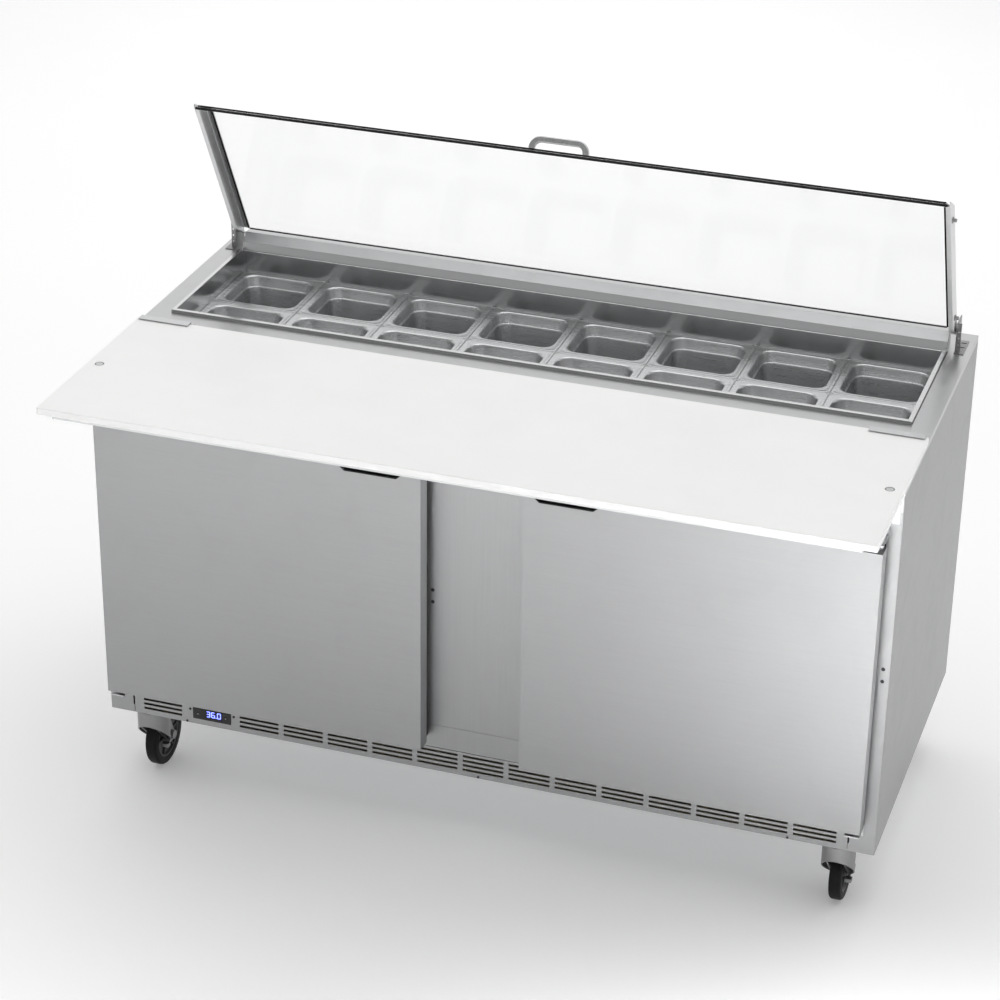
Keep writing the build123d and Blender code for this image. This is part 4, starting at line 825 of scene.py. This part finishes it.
def make_casters():
    """Wheels with a tyre and a ribbed core, zinc forks and brake levers."""
    for corner in CORNERS:
        node = f"caster_wheel_{corner}"
        low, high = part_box(node)
        centre = (low + high) / 2
        tyre = turned(f"tyre_{corner}", wheel_profile(), centre, "X", SEGMENTS_TYRE)
        paint(tyre, "tyre")
        stand_for(tyre, node)
        core = turned(f"wheel_core_{corner}", core_profile(), centre, "X", SEGMENTS_CORE)
        add_detail(core, f"wheel_{corner}", "core")
        for k in range(RIB_COUNT):
            angle = math.radians(360 / RIB_COUNT * k)
            for side in SIDES:
                x0, x1 = sorted(side * along for along in RIB_ALONG)
                rib = block(f"wheel_rib_{corner}_{k}_{'lr'[side > 0]}",
                            (x0, RIB_RADII[0], -RIB_HALF), (x1, RIB_RADII[1], RIB_HALF), 0.0006)
                rib.data.transform(Matrix.Translation(centre) @ Matrix.Rotation(angle, 4, "X"))
                add_detail(rib, f"wheel_{corner}", "core")
        dressed(f"caster_fork_{corner}", "zinc", 0.0005)
        if corner.startswith("front"):
            dressed(f"caster_brake_{corner}", "zinc", 0.0007)


# ---------------------------------------------------------------- studio
CAMERA_PLACE = (1.4716, -4.5762, 3.1115)
CAMERA_LENS = 103.3
CAMERA_YAW = 18.29
CAMERA_PITCH = -27.28
CAMERA_ROLL = 0.82


def make_camera():
    """Camera at the photo's viewpoint, with a slight roll."""
    yaw, pitch, roll = (math.radians(a) for a in (CAMERA_YAW, CAMERA_PITCH, CAMERA_ROLL))
    forward = Vector((-math.sin(yaw) * math.cos(pitch), math.cos(yaw) * math.cos(pitch),
                      math.sin(pitch)))
    level = Vector((math.cos(yaw), math.sin(yaw), 0))
    upright = level.cross(forward)
    right = math.cos(roll) * level + math.sin(roll) * upright
    up = -math.sin(roll) * level + math.cos(roll) * upright
    data = bpy.data.cameras.new("camera")
    data.lens = CAMERA_LENS
    data.sensor_width = 36.0
    data.clip_end = 100.0
    camera = bpy.data.objects.new("camera", data)
    camera.matrix_world = Matrix((
        (right.x, up.x, -forward.x, CAMERA_PLACE[0]),
        (right.y, up.y, -forward.y, CAMERA_PLACE[1]),
        (right.z, up.z, -forward.z, CAMERA_PLACE[2]),
        (0, 0, 0, 1)))
    bpy.context.scene.collection.objects.link(camera)
    bpy.context.scene.camera = camera


FLOOR_HALF = 30.0
FLOOR_GLOW = 0.18


def make_floor():
    """Wide pale floor with a faint glow that lifts the shadows."""
    half = FLOOR_HALF
    floor = place_mesh("studio_floor", [(-half, -half, 0), (half, -half, 0), (half, half, 0),
                                        (-half, half, 0)], [(0, 1, 2, 3)])
    g = Graph("floor_paper")
    drift = g.noise(0.8, detail=2.0)
    shade = g.blend(g.span(drift, 0.0, 1.0), (0.90, 0.90, 0.90, 1), (0.92, 0.92, 0.92, 1))
    floor.data.materials.append(g.surface({"Base Color": shade, "Roughness": 0.9,
                                           "Specular IOR Level": 0.1,
                                           "Emission Color": (1, 1, 1, 1),
                                           "Emission Strength": FLOOR_GLOW}))


def softbox(name, place, target, size, power, spread=180.0):
    """Rectangular light that the camera doesn't see, in metres, watts and degrees."""
    data = bpy.data.lights.new(name, "AREA")
    data.shape = "RECTANGLE"
    data.size, data.size_y = size
    data.energy = power
    data.spread = math.radians(spread)
    light = bpy.data.objects.new(name, data)
    direction = Vector(target) - Vector(place)
    light.rotation_euler = direction.to_track_quat("-Z", "Y").to_euler()
    light.location = place
    light.visible_camera = False
    bpy.context.scene.collection.objects.link(light)
    return light


def make_light():
    """White surroundings, brightest at the rear and low in front, and four softboxes above."""
    world = bpy.data.worlds.new("studio")
    bpy.context.scene.world = world
    world.use_nodes = True
    nodes, links = world.node_tree.nodes, world.node_tree.links
    background = nodes["Background"]
    split = nodes.new("ShaderNodeSeparateXYZ")
    links.new(nodes.new("ShaderNodeTexCoord").outputs["Generated"], split.inputs[0])

    def ramp(socket, source, result):
        """Smooth step of a direction from the source range to the result range."""
        node = nodes.new("ShaderNodeMapRange")
        node.interpolation_type = "SMOOTHSTEP"
        for key, value in zip(("From Min", "From Max", "To Min", "To Max"), source + result):
            node.inputs[key].default_value = value
        links.new(socket, node.inputs["Value"])
        return node.outputs["Result"]

    def product(a, b):
        """Product of two sockets."""
        node = nodes.new("ShaderNodeMath")
        node.operation = "MULTIPLY"
        links.new(a, node.inputs[0])
        links.new(b, node.inputs[1])
        return node.outputs["Value"]

    rearward = ramp(split.outputs["Y"], (-0.6, 0.9), (0.30, 1.20))
    overhead = ramp(split.outputs["Z"], (0.35, 0.95), (1.0, 0.55))
    low_front = product(ramp(split.outputs["Y"], (-0.5, -0.9), (0.0, 1.0)),
                        ramp(split.outputs["Z"], (0.42, 0.22), (0.0, 0.4)))
    total = nodes.new("ShaderNodeMath")
    links.new(product(rearward, overhead), total.inputs[0])
    links.new(low_front, total.inputs[1])
    links.new(total.outputs["Value"], background.inputs["Strength"])
    background.inputs["Color"].default_value = (1, 1, 1, 1)
    softbox("right_wash", (1.3, -1.7, 1.9), (1.3, -1.7, 0), (1.2, 1.2), 33, 60)
    softbox("front_wash", (0.0, -3.4, 2.6), (0.0, -3.4, 0), (5.0, 2.4), 75, 80)
    softbox("top", (0.0, -0.4, 5.0), (0, 0, 0), (5.0, 5.0), 100)
    rear_wash = softbox("rear_wash", (-1.5, 4.5, 6.0), (-1.5, 4.5, 0), (6.0, 5.0), 36, 75)
    rear_wash.visible_glossy = False
    bpy.context.scene.view_settings.view_transform = "Standard"


make_cabinet()
make_riser()
make_breaker_strips()
make_back_fixings()
make_thermostat()
make_doors()
make_board()
make_pans()
make_lid()
make_casters()
make_floor()
make_light()
make_camera()
